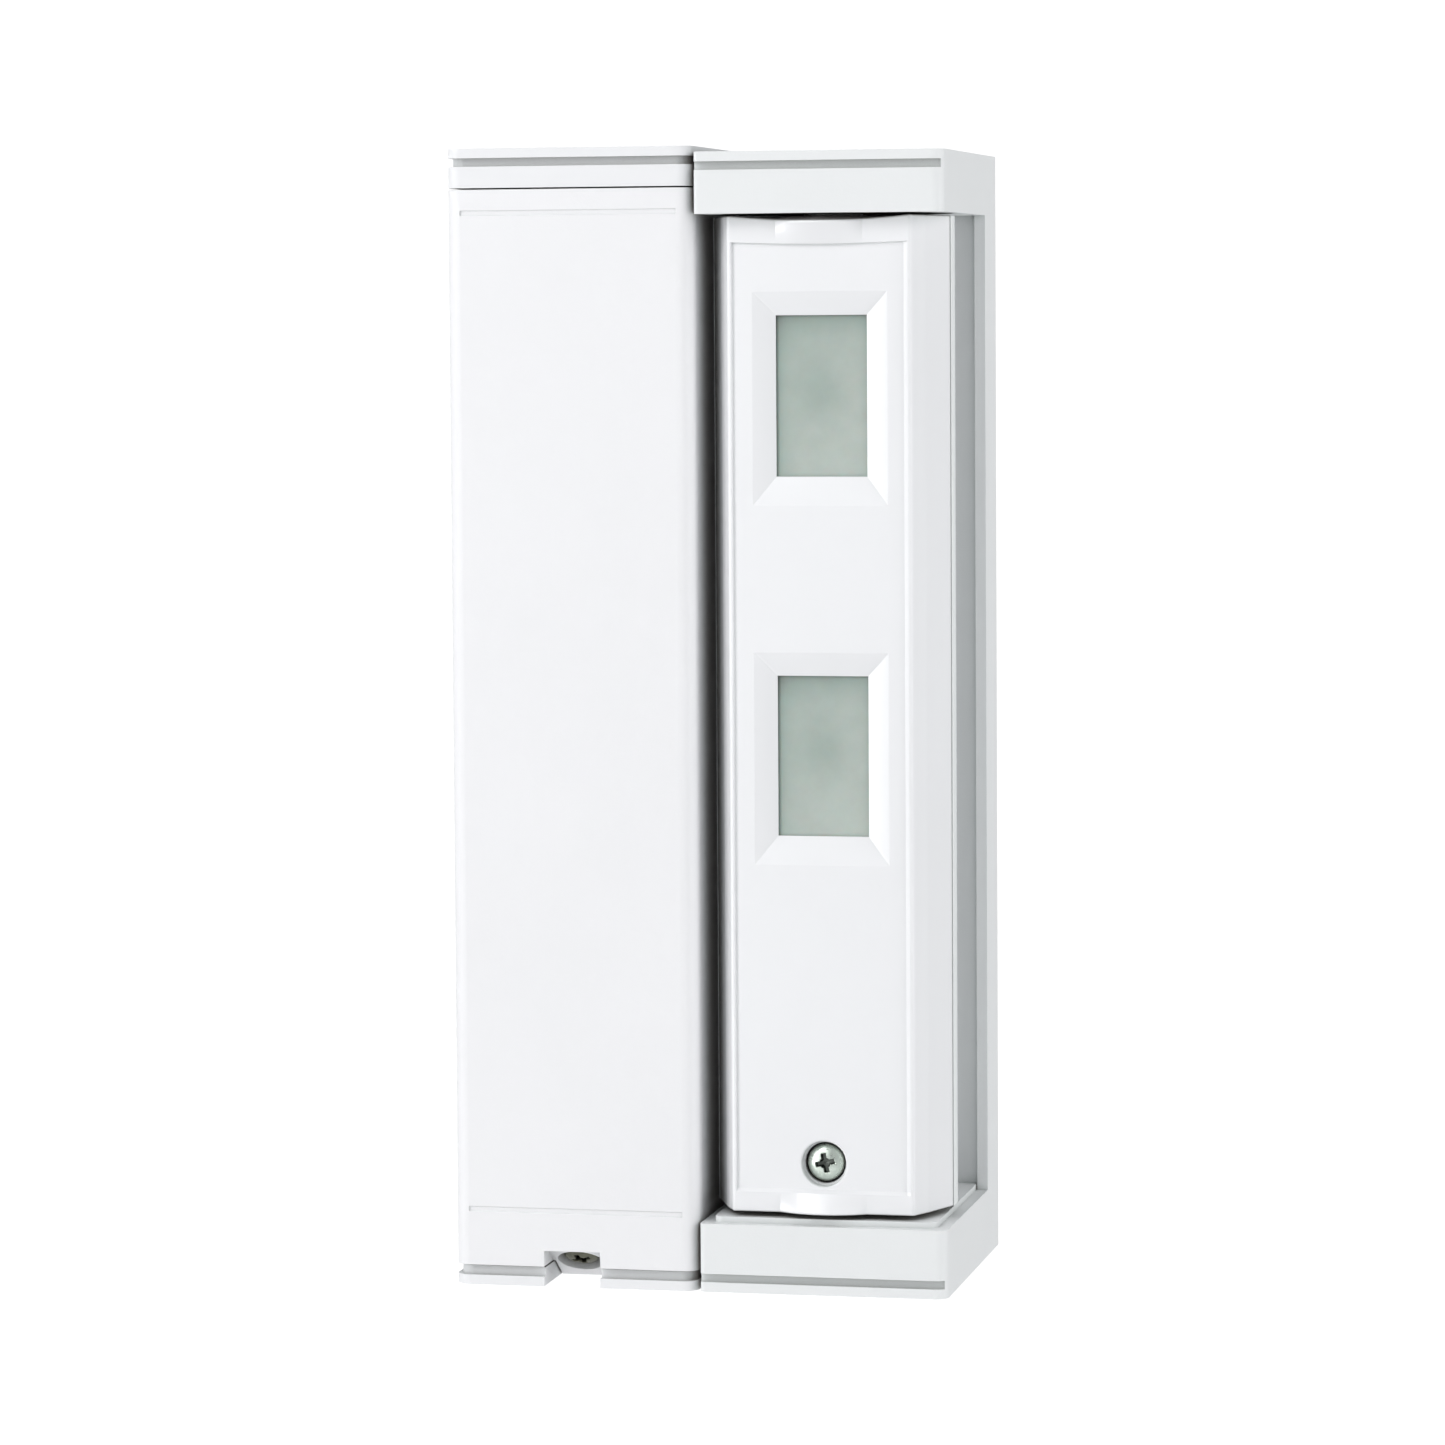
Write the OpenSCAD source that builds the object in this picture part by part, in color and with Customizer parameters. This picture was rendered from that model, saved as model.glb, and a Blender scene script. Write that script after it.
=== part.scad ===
// Outdoor curtain motion detector: a battery box beside a swivelling two-window sensor head.
// Millimetres. +Z is up, the wall is the plane y = 0 and the front faces -Y.
// The origin is on the wall face, midway across the unit and halfway up the battery box.

/* [Overall] */
// Height of the battery box, the tallest part
height = 188; // [150:1:240]
// Depth from the wall to the front face
depth = 54; // [50:1:70]
// Gap between the battery box and the swivel bracket
join_gap = 0.5; // [0.4:0.1:1.5]
// Outer radius of the vertical front edges
edge_r = 2.4; // [1:0.1:3]

/* [Lips and grooves] */
// Height of the lip at the top and the bottom
lip_h = 1.6; // [1:0.1:2.5]
// Height of the groove next to each lip
groove_h = 1.4; // [0.8:0.1:2]
// Depth of the groove in the front
groove_in = 1.2; // [0.6:0.1:1.5]
// Depth of the groove in the sides of the battery box
groove_side_in = 0.5; // [0.3:0.1:1]

/* [Wall plate] */
// Thickness of the plate that screws to the wall
plate_t = 2.4; // [2:0.1:3]
// Distance from the outer outline in to the plate's edge
plate_in = 1.9; // [1.6:0.1:2.2]
// Spacing of the wall screws across
wall_screw_x = 60; // [50:1:64]
// Spacing of the wall screws up
wall_screw_z = 150; // [110:1:160]
// Diameter of the wall screw holes
wall_screw_d = 4.5; // [3.5:0.1:5]
// Diameter of the rear cable entry
cable_d = 8; // [6:0.1:9]

/* [Battery box] */
// Width of the battery box
box_w = 41.1; // [38:0.1:55]
// Wall thickness of the cover
cover_wall = 2.2; // [1.6:0.1:2.6]
// Wall thickness of the base tray
tray_wall = 3.8; // [3.6:0.1:4.2]
// Depth of the base tray from the wall to its rim
tray_d = 12; // [11:0.1:14]
// Height of the fixed band above the cover
band_h = 3.5; // [3:0.1:6]
// Gap all round between the cover and the base
cover_gap = 0.25; // [0.2:0.05:0.4]
// Height of the thin line near each end of the cover's front
line_h = 0.8; // [0.5:0.1:1.2]
// Distance from the cover's lower end to its lower line
line_low_in = 9; // [7:0.1:12]
// Distance from the cover's upper end to the foot of its upper line
line_high_in = 4.25; // [3:0.05:6]

/* [Battery box notch] */
// Width of the screw notch
notch_w = 9.5; // [9:0.1:11]
// Depth of the screw notch
notch_d = 11.7; // [10.5:0.1:12.5]
// Height of the notch in the front face
notch_h = 5.9; // [5:0.1:7]

/* [Batteries] */
// Diameter of a cell
cell_d = 17; // [14:0.1:17.5]
// Length of a cell without its button
cell_l = 33.5; // [30:0.1:34]

/* [Swivel bracket] */
// Width of the bracket
block_w = 41.2; // [41:0.1:52]
// How much lower the bracket's top is than the box's
step_h = 1; // [0.5:0.1:3]
// Depth of the bracket's back from the wall to its rim
rim_d = 12.1; // [11.5:0.1:13]
// Rim wall thickness of the bracket
rim_wall = 1.8; // [1.6:0.1:2.4]
// How far the back panel sits behind the rim
panel_in = 1.3; // [1:0.1:2]
// Height of the bottom ledge
ledge_h = 11.3; // [10.8:0.05:14]
// Height of the raised plateau on the bottom ledge
plateau_h = 0.95; // [0.5:0.05:1.1]
// Height of the top ledge with its lip
top_ledge_h = 10.1; // [9.5:0.1:14]
// Swivel axis from the bracket's left side
axis_in = 20.2; // [20.1:0.1:24]
// Swivel axis behind the front face
axis_back = 16.1; // [15.8:0.1:20]

/* [Sensor head] */
// Radius that the head turns inside
head_r = 19.9; // [18:0.1:19.9]
// Head front plane ahead of the swivel axis
head_nose = 13.3; // [13:0.1:13.6]
// Half width of the head's front face
nose_half = 15.2; // [14.8:0.1:15.3]
// Depth of the head's front cover
front_d = 11.5; // [11:0.1:12]
// Wall thickness of the head's shells
head_wall = 1.9; // [1.6:0.1:2.2]
// Gap between the head and the top ledge
head_gap = 0.4; // [0.3:0.1:2]
// Gap between the head and the plateau
head_foot_gap = 0.85; // [0.5:0.05:2]
// Height of the head's top border
border_top_h = 4.2; // [3.5:0.1:5]
// Height of the head's bottom border
border_low_h = 3.3; // [3:0.1:5]
// Width of the recessed front panel
panel_w = 29.2; // [27:0.1:29.4]
// Depth of the recessed front panel
panel_d = 0.45; // [0.3:0.05:0.7]
// Width of the curved boss on each border
boss_w = 14.4; // [12:0.1:16]
// How far the curved boss stands out
boss_out = 1.6; // [1:0.1:2]

/* [Windows] */
// Width of a lens opening
lens_w = 15.1; // [12:0.1:16]
// Height of a lens opening
lens_h = 26.3; // [22:0.1:28]
// Bevel width at each side of a lens
bevel_w = 3.65; // [3:0.05:4]
// Bevel height above a lens
bevel_top_h = 3.85; // [3:0.05:5]
// Bevel height below a lens
bevel_low_h = 4.7; // [3.5:0.1:5.5]
// Depth of the bevels below the front panel
bevel_d = 1.2; // [0.8:0.1:1.3]
// Height of the upper lens centre above the base
upper_lens_z = 147.2; // [140:0.1:148]
// Height of the lower lens centre above the base
lower_lens_z = 88.3; // [80:0.1:90]
// Thickness of a lens
lens_t = 0.8; // [0.6:0.1:1.2]

/* [Screws] */
// Head diameter of the cover screws
screw_head_d = 6.1; // [5.5:0.1:6.2]
// Head height of the cover screws
screw_head_h = 2; // [1.6:0.1:2.4]
// Shank diameter of the cover screws
screw_d = 3; // [2.5:0.1:3]
// Counterbore diameter round a cover screw
counterbore_d = 7.7; // [7.2:0.1:8]
// Height of the head's front screw above the base
front_screw_z = 21.2; // [21:0.1:23]

/* [Pivots] */
// Diameter of the hollow pivots on the head
pivot_d = 9.7; // [8:0.1:10]
// Outer diameter of the pivot bushes
bush_d = 14; // [13:0.1:15]
// Radial clearance of a pivot in its bush
pivot_fit = 0.05; // [0.02:0.01:0.1]

/* [Boards] */
// Thickness of the circuit boards
board_t = 1.6; // [1:0.1:2]
// Width of the sensor board
sensor_board_w = 25; // [22:0.1:26]
// Diameter of a heat sensor's can
can_d = 9.2; // [8:0.1:9.5]
// Length of a heat sensor's can
can_h = 4.4; // [3:0.1:5]
// Diameter of the leads
lead_d = 2; // [1.2:0.1:2.2]

/* [Hidden] */
$fn = 48;
eps = 0.01;
fit = 0.1;       // clearance of a piece in its seat
air = 0.3;       // clearance between pieces that move apart

// Places across
unit_w = box_w + join_gap + block_w;
box_x0 = -unit_w / 2;
box_x1 = box_x0 + box_w;
block_x0 = box_x1 + join_gap;
block_x1 = unit_w / 2;
box_cx = (box_x0 + box_x1) / 2;
axis_x = block_x0 + axis_in;
notch_x = box_cx - 0.6;
// Places up, measured from the underside
block_top = height - step_h;
cover_z0 = lip_h + groove_h + cover_gap;
band_z0 = height - lip_h - groove_h - band_h;
cover_z1 = band_z0 - cover_gap;
plateau_z = ledge_h + plateau_h;
top_ledge_z = block_top - top_ledge_h;
head_z0 = plateau_z + head_foot_gap;
head_z1 = top_ledge_z - head_gap;
// Places in depth
front_y = -depth;
axis_y = front_y + axis_back;
head_y = axis_y - head_nose;
plate_gap = 0.1;
tray_floor_y = -plate_t - plate_gap - 2.3;   // front face of the tray's rear wall
bracket_panel_y = -rim_d + panel_in;
bracket_skin = 2.2;
lens_in = head_wall + fit;  // lens face behind the head's front plane
lens_y = head_y + lens_in;
screw_seat = panel_d + 2.9; // seat of the front screw behind the same plane
seal_t = 0.5;
// Inner ledge cavity
cap_z0 = 1;
cap_t = 1.8;
well_z0 = cap_z0 + cap_t;
well_z1 = ledge_h - 2.7;
well_r = 10;
bush_h = plateau_z - well_z1;
upper_bush_h = 2.7;
// Fixing screws
fix_d = 2.6;
fix_head_d = 5;
fix_head_h = 1.8;
box_fix_in = 12;           // fixing screws from the ends, in the box
bracket_fix_in = 18;       // and in the bracket
lead_cross_z = lip_h + groove_h + tray_wall + lead_d / 2 + 1.5;
lug_w = 7;
lug_d = 5;
lug_u = notch_d + 2.4;      // lug's foot behind the front plane
hook_u = notch_d - 2.1;     // lug's hook reaches forward to here
chin_back = 1.8;
chin_h = notch_h + 3.1;
hook_z = chin_h + 0.6;
lug_top = hook_z + 5.4;
cover_screw_l = 10.5;
// Sensor board
board_d = 17;              // board face behind the head's front plane
board_z0 = head_z0 + 20;
board_z1 = head_z1 - 5;
post_x = 8.5;
post_in = 5;
post_r = 2.4;
baffle_gap = 2.2;
// Transmitter board
tx_stand = 5;
tx_in = 5.6;
tx_z0 = cover_z1 - 78;
tx_z1 = cover_z1 - 12;
tx_y = tray_floor_y - tx_stand;              // rear face of the board
tx_hole_in = 3.2;
// Battery holder
cell_y = tray_floor_y - 1.6 - cell_d / 2 - 0.4;
holder_z0 = cover_z0 + 14;
holder_end = 1.6;
spring_h = 3;
button_h = 1;
holder_l = 2 * cell_l + 2 * button_h + 2 * spring_h + 2 * holder_end + 3.2;
cable_z = holder_z0 + holder_l + cable_d / 2 + 3.5;
// Cover screw, square to the slanted seat in the notch
seat_slope = atan(notch_h / (notch_d - cover_wall));
seat_u = notch_d * 0.54;
seat_z = (notch_d - seat_u) * tan(seat_slope);

function arc_pts(c, r, a0, a1, n) =
    [for (i = [0:n]) [c[0] + r * cos(a0 + (a1 - a0) * i / n), c[1] + r * sin(a0 + (a1 - a0) * i / n)]];

// Rounded rectangle from corner p to corner q, radii in the order low-low, high-low, high-high, low-high
function round_rect(p, q, r, n = 6) = concat(
    arc_pts([p[0] + r[0], p[1] + r[0]], r[0], 180, 270, n),
    arc_pts([q[0] - r[1], p[1] + r[1]], r[1], 270, 360, n),
    arc_pts([q[0] - r[2], q[1] - r[2]], r[2], 0, 90, n),
    arc_pts([p[0] + r[3], q[1] - r[3]], r[3], 90, 180, n));

// Outline of the head seen from above, a distance s inside the outer faces, from depth a to depth b
function side_x(d, s) =
    d < 3.5 ? nose_half + 1.7 * d / 3.5 - s * 1.1 :
    d < front_d ? nose_half + 1.7 + (head_r - nose_half - 1.7) * (d - 3.5) / (front_d - 3.5) - s * 1.06 :
    head_r - s;
function front_half(s) = concat(
    [[side_x(front_d, s), front_d]],
    [[side_x(3.5, s), 3.5]],
    s > 0 ? [[side_x(s, s), s]] : [[side_x(1.2, 0), 1.2], [nose_half - 0.1, 0.15], [nose_half - 0.35, 0]]);
function rear_half(s, n = 16) = concat(
    [[head_r - s, front_d]],
    arc_pts([0, head_nose], head_r - s, 0, 90, n));
function mirrored(pts) = [for (i = [len(pts) - 1:-1:0]) [-pts[i][0], pts[i][1]]];

module stand() { translate([0, 0, -height / 2]) children(); }

// A block from corner a to corner b, heights measured from the underside
module block(a, b) { translate(a) cube([b[0] - a[0], b[1] - a[1], b[2] - a[2]]); }

// A prism over an outline in the x-y plane
module slab(pts, z0, z1) { translate([0, 0, z0]) linear_extrude(z1 - z0) polygon(pts); }

// A rod along Y from y0 to y1
module rod_y(x, z, y0, y1, r) { translate([x, y0, z]) rotate([-90, 0, 0]) cylinder(r = r, h = y1 - y0); }

module rod_z(x, y, z0, z1, r) { translate([x, y, z0]) cylinder(r = r, h = z1 - z0); }

module rod_x(y, z, x0, x1, r) { translate([x0, y, z]) rotate([0, 90, 0]) cylinder(r = r, h = x1 - x0); }

// Puts the head's outline, drawn about the swivel axis, in place
module on_head() { translate([axis_x, head_y, 0]) children(); }

// A wire coil about Z, one closed solid
module coil(r, h, turns, wire_r) {
    steps = 14 * turns;
    sides = 8;
    pts = [for (i = [0:steps]) for (k = [0:sides - 1])
        let (a = 360 * turns * i / steps, b = 360 * k / sides, q = r + wire_r * cos(b))
        [q * cos(a), q * sin(a), wire_r + (h - 2 * wire_r) * i / steps + wire_r * sin(b)]];
    walls = [for (i = [0:steps - 1]) for (k = [0:sides - 1])
        let (m = (k + 1) % sides) [i * sides + k, (i + 1) * sides + k, (i + 1) * sides + m, i * sides + m]];
    ends = [[for (k = [0:sides - 1]) k], [for (k = [sides - 1:-1:0]) steps * sides + k]];
    polyhedron(pts, concat(walls, ends), convexity = 6);
}

// Pan head screw along +Z: the head's top at z = 0, its shank going down
module pan_screw(head_d, head_h, d, length, cross) {
    difference() {
        union() {
            translate([0, 0, -head_h]) cylinder(d = head_d, h = head_h * 0.55);
            translate([0, 0, -head_h * 0.45]) cylinder(d1 = head_d, d2 = head_d * 0.62, h = head_h * 0.45);
            translate([0, 0, -head_h - length]) cylinder(d = d, h = length + eps);
        }
        for (a = [0, 90]) rotate(a) translate([-cross / 2, -cross * 0.13, -head_h * 0.7])
            cube([cross, cross * 0.26, head_h]);
    }
}

// Places of the two fixing screws in the battery box and in the bracket
module box_fixings() { for (z = [box_fix_in, block_top - box_fix_in]) translate([box_cx, 0, z]) children(); }

module bracket_fixings() {
    for (z = [bracket_fix_in, block_top - bracket_fix_in]) translate([axis_x, 0, z]) children();
}

module back_plate() {
    color([0.82, 0.83, 0.84]) stand() difference() {
        block([box_x0 + plate_in + plate_gap, -plate_t, plate_in + plate_gap],
            [block_x1 - plate_in - plate_gap, 0, block_top - plate_in - plate_gap]);
        for (sx = [-1, 1]) for (sz = [-1, 1])
            rod_y(sx * wall_screw_x / 2, height / 2 + sz * wall_screw_z / 2, -plate_t - 1, 1, wall_screw_d / 2);
        rod_y(box_cx, cable_z, -plate_t - 1, 1, cable_d / 2);
        box_fixings() rod_y(0, 0, -plate_t - 1, 1, fix_d / 2 + fit / 2);
        bracket_fixings() rod_y(0, 0, -plate_t - 1, 1, fix_d / 2 + fit / 2);
    }
}

box_outline = round_rect([box_x0, front_y], [box_x1, 0], [edge_r, edge_r, 0.8, 0.8]);
box_neck = round_rect([box_x0 + groove_side_in, front_y + groove_in], [box_x1 - groove_side_in, -groove_side_in],
    [edge_r, edge_r, 0.8, 0.8]);

// The wall of the tray, the fixed band over the cover and the lips at both ends
module box_base() {
    color([0.86, 0.87, 0.88]) stand() difference() {
        union() {
            difference() {
                union() {
                    slab(box_outline, 0, lip_h);
                    slab(box_neck, lip_h - eps, lip_h + groove_h + eps);
                    intersection() {
                        slab(box_outline, 0, height);
                        block([box_x0 - 1, -tray_d, lip_h + groove_h], [box_x1 + 1, 1, band_z0 + 1]);
                    }
                    slab(box_outline, band_z0, band_z0 + band_h);
                    slab(box_neck, band_z0 + band_h - eps, height - lip_h + eps);
                    slab(box_outline, height - lip_h, height);
                }
                block([box_x0 + tray_wall, -tray_d - 1, lip_h + groove_h + tray_wall],
                    [box_x1 - tray_wall, tray_floor_y, band_z0 - tray_wall]);
                // Room behind for the wall plate
                block([box_x0 + plate_in, -plate_t - plate_gap, plate_in],
                    [box_x1 + 1, 1, block_top - plate_in]);
            }
            for (sx = [-1, 1]) for (z = [tx_z0 + tx_hole_in, tx_z1 - tx_hole_in])
                rod_y(box_cx + sx * (box_w / 2 - tx_in - tx_hole_in), z, tx_y, tray_floor_y + 1, 2.4);
            // Lug with a slotted hook over the chin, which the cover screw's shank runs into
            block([notch_x - lug_w / 2, front_y + lug_u, lip_h + groove_h - 1],
                [notch_x + lug_w / 2, front_y + lug_u + lug_d, lug_top]);
            block([notch_x - lug_w / 2, front_y + hook_u, hook_z],
                [notch_x + lug_w / 2, front_y + lug_u + eps, lug_top]);
        }
        block([notch_x - screw_d / 2 - air, front_y + hook_u - 1, hook_z - 1],
            [notch_x + screw_d / 2 + air, front_y + lug_u + screw_d / 2 + fit, lug_top + 1]);
        rod_y(box_cx, cable_z, tray_floor_y - 1, 1, cable_d / 2 + 1);
        box_fixings() rod_y(0, 0, tray_floor_y - 1, 1, fix_d / 2 + fit);
        for (sx = [-1, 1]) for (z = [tx_z0 + tx_hole_in, tx_z1 - tx_hole_in])
            rod_y(box_cx + sx * (box_w / 2 - tx_in - tx_hole_in), z, tx_y - 1, tray_floor_y - 0.5, 1.05);
        // The screw notch through the bottom lip
        block([notch_x - notch_w / 2, front_y - 1, -1],
            [notch_x + notch_w / 2, front_y + lug_u - fit, lip_h + groove_h + 1]);
        // Way through for the lead
        rod_x(tray_floor_y - 1.8, lead_cross_z, box_x1 - tray_wall - 1, box_x1 + 1, lead_d / 2 + fit);
    }
}

block_outline = round_rect([block_x0, front_y], [block_x1, 0], [0.8, 2, 0.8, 0.8]);

// One C-shaped piece: a hollow back, a bottom ledge with a bush well, and a top ledge
module swivel_bracket() {
    color([0.87, 0.88, 0.9]) stand() difference() {
        union() {
            difference() {
                slab(block_outline, 0, block_top);
                block([block_x0 - 1, front_y - 1, ledge_h], [block_x1 + 1, -rim_d, top_ledge_z]);
                block([block_x0 + rim_wall, -rim_d - 1, ledge_h],
                    [block_x1 - rim_wall, bracket_panel_y, top_ledge_z]);
            }
            slab(round_rect([block_x0 + 2, front_y + 2], [block_x1 - 2, bracket_panel_y + 1], [1.5, 2, 0.5, 0.5]),
                ledge_h - eps, plateau_z);
        }
        // Grooves in the front only
        for (z = [lip_h, block_top - lip_h - groove_h])
            block([block_x0 - 1, front_y - 1, z], [block_x1 - 0.5, front_y + groove_in, z + groove_h]);
        // Hollow back, open to the wall plate, with a boss round each fixing screw
        difference() {
            block([block_x0 + plate_in + 0.3, bracket_panel_y + bracket_skin, ledge_h - 8.5],
                [block_x1 - plate_in - 1.5, 0, top_ledge_z + 5]);
            bracket_fixings() rod_y(0, 0, bracket_panel_y, 1, fix_head_d / 2 + 2);
        }
        block([block_x0 - 1, -plate_t - plate_gap, plate_in],
            [block_x1 - plate_in, 1, block_top - plate_in]);
        bracket_fixings() rod_y(0, 0, bracket_panel_y - 1, 1, fix_d / 2 + fit);
        bracket_fixings() rod_y(0, 0, bracket_panel_y - 1, tray_floor_y, fix_head_d / 2 + fit);
        // Well under the lower bush, closed by the cap
        rod_z(axis_x, axis_y, well_z0 - eps, well_z1, well_r);
        block([axis_x - 2, axis_y, well_z0 - eps], [axis_x + 2, tray_floor_y, well_z0 + 3.2]);
        rod_z(axis_x, axis_y, -1, well_z0 + eps, well_r + 1.5);
        rod_z(axis_x, axis_y, well_z1 - 1, plateau_z + 1, bush_d / 2 + fit / 2);
        rod_z(axis_x, axis_y, top_ledge_z - 1, top_ledge_z + upper_bush_h, bush_d / 2 + fit / 2);
        rod_z(axis_x, axis_y, top_ledge_z - 1, top_ledge_z + upper_bush_h + 1.5, pivot_d / 2 + 0.6);
        rod_x(tray_floor_y - 1.8, lead_cross_z, block_x0 - 1, block_x0 + plate_in + 1, lead_d / 2 + fit);
    }
}

module ledge_cap() {
    color([0.8, 0.81, 0.82]) stand()
        rod_z(axis_x, axis_y, cap_z0, well_z0 - fit, well_r + 1.5 - fit);
}

module fixing_screw() {
    translate([0, tray_floor_y - fix_head_h, 0]) rotate([90, 0, 0])
        pan_screw(fix_head_d, fix_head_h, fix_d, -tray_floor_y - 0.4, 3);
}

module box_fixing_screws() { color([0.62, 0.63, 0.6]) stand() box_fixings() fixing_screw(); }

module bracket_fixing_screws() { color([0.62, 0.63, 0.6]) stand() bracket_fixings() fixing_screw(); }

// Membrane grommet in the tray's cable hole
module cable_grommet() {
    r = cable_d / 2 + 1 - fit / 2;
    color([0.12, 0.12, 0.13]) stand() difference() {
        union() {
            rod_y(box_cx, cable_z, tray_floor_y - 1.4, tray_floor_y, r + 1.6);
            rod_y(box_cx, cable_z, tray_floor_y - eps, -plate_t - plate_gap, r);
        }
        rod_y(box_cx, cable_z, tray_floor_y - 0.6, 1, r - 1.2);
        rod_y(box_cx, cable_z, tray_floor_y - 2, 1, 1);
    }
}

gasket_t = 1;
gasket_w = 1.1;

// Square-section seal ring on the tray's rim
module cover_gasket() {
    x0 = box_x0 + tray_wall - gasket_w - 0.1;
    x1 = box_x1 - tray_wall + gasket_w + 0.1;
    z0 = cover_z0 + cover_wall + air;
    z1 = cover_z1 - cover_wall - air;
    color([0.16, 0.16, 0.17]) stand() difference() {
        block([x0, -tray_d - gasket_t, z0], [x1, -tray_d, z1]);
        block([x0 + gasket_w, -tray_d - 2, z0 + gasket_w], [x1 - gasket_w, 1, z1 - gasket_w]);
    }
}

// Open cradle for two cells end to end
module battery_holder() {
    z1 = holder_z0 + holder_l;
    r = cell_d / 2 + 0.4;
    wall = 1.4;
    y0 = cell_y - cell_d * 0.18;
    color([0.1, 0.1, 0.11]) stand() difference() {
        block([box_cx - r - wall, y0, holder_z0], [box_cx + r + wall, tray_floor_y, z1]);
        rod_z(box_cx, cell_y, holder_z0 + holder_end, z1 - holder_end, r);
        block([box_cx - r, y0 - 1, holder_z0 + holder_end], [box_cx + r, cell_y, z1 - holder_end]);
        // Finger gaps
        for (t = [0.27, 0.73])
            block([box_cx - r - wall - 1, y0 - 1, holder_z0 + holder_l * t - 7],
                [box_cx + r + wall + 1, cell_y + 1, holder_z0 + holder_l * t + 7]);
    }
}

module cell(z) {
    rod_z(box_cx, cell_y, z, z + cell_l, cell_d / 2);
    rod_z(box_cx, cell_y, z + cell_l - eps, z + cell_l + button_h, 3);
}

lower_cell_z = holder_z0 + holder_end + 0.4 + spring_h;
upper_cell_z = lower_cell_z + cell_l + button_h + 0.4 + spring_h;

module lower_battery() { color([0.2, 0.35, 0.55]) stand() cell(lower_cell_z); }

module upper_battery() { color([0.2, 0.35, 0.55]) stand() cell(upper_cell_z); }

module battery_springs() {
    color([0.75, 0.75, 0.76]) stand() for (z = [lower_cell_z, upper_cell_z])
        translate([box_cx, cell_y, z - spring_h]) coil(4.5, spring_h, 3, 0.35);
}

module battery_contacts() {
    color([0.75, 0.75, 0.76]) stand() {
        block([box_cx - 5.5, cell_y - 4, holder_z0 + holder_end], [box_cx + 5.5, cell_y + 4, holder_z0 + holder_end + 0.4]);
        block([box_cx - 5.5, cell_y - 4, upper_cell_z - spring_h - 0.4],
            [box_cx + 5.5, cell_y + 4, upper_cell_z - spring_h]);
        block([box_cx - 5.5, cell_y - 4, upper_cell_z + cell_l + button_h],
            [box_cx + 5.5, cell_y + 4, upper_cell_z + cell_l + button_h + 0.4]);
    }
}

module board_holes() {
    for (sx = [-1, 1]) for (z = [tx_z0 + tx_hole_in, tx_z1 - tx_hole_in])
        translate([box_cx + sx * (box_w / 2 - tx_in - tx_hole_in), 0, z]) children();
}

module transmitter_board() {
    color([0.1, 0.36, 0.2]) stand() difference() {
        block([box_x0 + tx_in, tx_y - board_t, tx_z0], [box_x1 - tx_in, tx_y, tx_z1]);
        board_holes() rod_y(0, 0, tx_y - board_t - 1, tx_y + 1, 1.3);
    }
}

tx_face = tx_y - board_t;

module transmitter_board_screws() {
    color([0.62, 0.63, 0.6]) stand() board_holes() translate([0, tx_face - 1.4, 0]) rotate([90, 0, 0])
        pan_screw(4, 1.4, 2, board_t + 3.5, 2.4);
}

module radio_shield() {
    color([0.72, 0.73, 0.74]) stand() difference() {
        block([box_cx - 9, tx_face - 3.2, tx_z1 - 34], [box_cx + 7, tx_face, tx_z1 - 10]);
        block([box_cx - 8.6, tx_face - 2.8, tx_z1 - 33.6], [box_cx + 6.6, tx_face + 1, tx_z1 - 10.4]);
    }
}

module antenna_wire() {
    color([0.75, 0.45, 0.25]) stand() {
        rod_z(box_cx + 10.5, tx_face - 1, tx_z1 - 30, tx_z1 - 8, 0.5);
        translate([box_cx + 10.5, tx_face - 1, tx_z1 - 30]) sphere(r = 0.5);
        rod_y(box_cx + 10.5, tx_z1 - 30, tx_face - 1, tx_face, 0.5);
    }
}

terminal_ways = 5;
terminal_pitch = 5;

module terminal_block() {
    w = terminal_ways * terminal_pitch;
    color([0.14, 0.4, 0.28]) stand() difference() {
        block([box_cx - w / 2, tx_face - 9, tx_z0 + 6.5], [box_cx + w / 2, tx_face, tx_z0 + 14.5]);
        for (i = [0:terminal_ways - 1]) {
            x = box_cx - w / 2 + terminal_pitch * (i + 0.5);
            rod_y(x, tx_z0 + 11.5, tx_face - 10, tx_face - 5, 1.9);
            block([x - 1.5, tx_face - 4.5, tx_z0 + 5], [x + 1.5, tx_face - 1.5, tx_z0 + 9.5]);
        }
    }
}

module terminal_screws() {
    w = terminal_ways * terminal_pitch;
    color([0.75, 0.75, 0.76]) stand() for (i = [0:terminal_ways - 1]) {
        x = box_cx - w / 2 + terminal_pitch * (i + 0.5);
        difference() {
            rod_y(x, tx_z0 + 11.5, tx_face - 8, tx_face - 5, 1.8);
            block([x - 0.3, tx_face - 9, tx_z0 + 9], [x + 0.3, tx_face - 7.2, tx_z0 + 14]);
        }
    }
}

// Tamper switch on the board, its plunger and the spring round the plunger's stem
tamper_z = tx_z0 + 24;
tamper_body_d = 6;
tamper_bore = 1.5;
plunger_len = 12;

module tamper_switch() {
    color([0.1, 0.1, 0.11]) stand() difference() {
        block([box_cx - 3.5, tx_face - tamper_body_d, tamper_z - 3.5], [box_cx + 3.5, tx_face, tamper_z + 3.5]);
        rod_y(box_cx, tamper_z, tx_face - tamper_body_d - 1, tx_face - 0.8, tamper_bore + 0.05);
    }
}

module tamper_plunger() {
    tip = tx_face - tamper_body_d - plunger_len;
    color([0.85, 0.2, 0.15]) stand() {
        rod_y(box_cx, tamper_z, tip, tx_face - 3.2, tamper_bore);
        rod_y(box_cx, tamper_z, tip + 0.8, tip + 2.2, 3);
    }
}

module tamper_spring() {
    y = tx_face - tamper_body_d;
    color([0.75, 0.75, 0.76]) stand() translate([box_cx, y - 0.05, tamper_z]) rotate([90, 0, 0])
        coil(2.2, plunger_len - 2.4, 6, 0.3);
}

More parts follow.
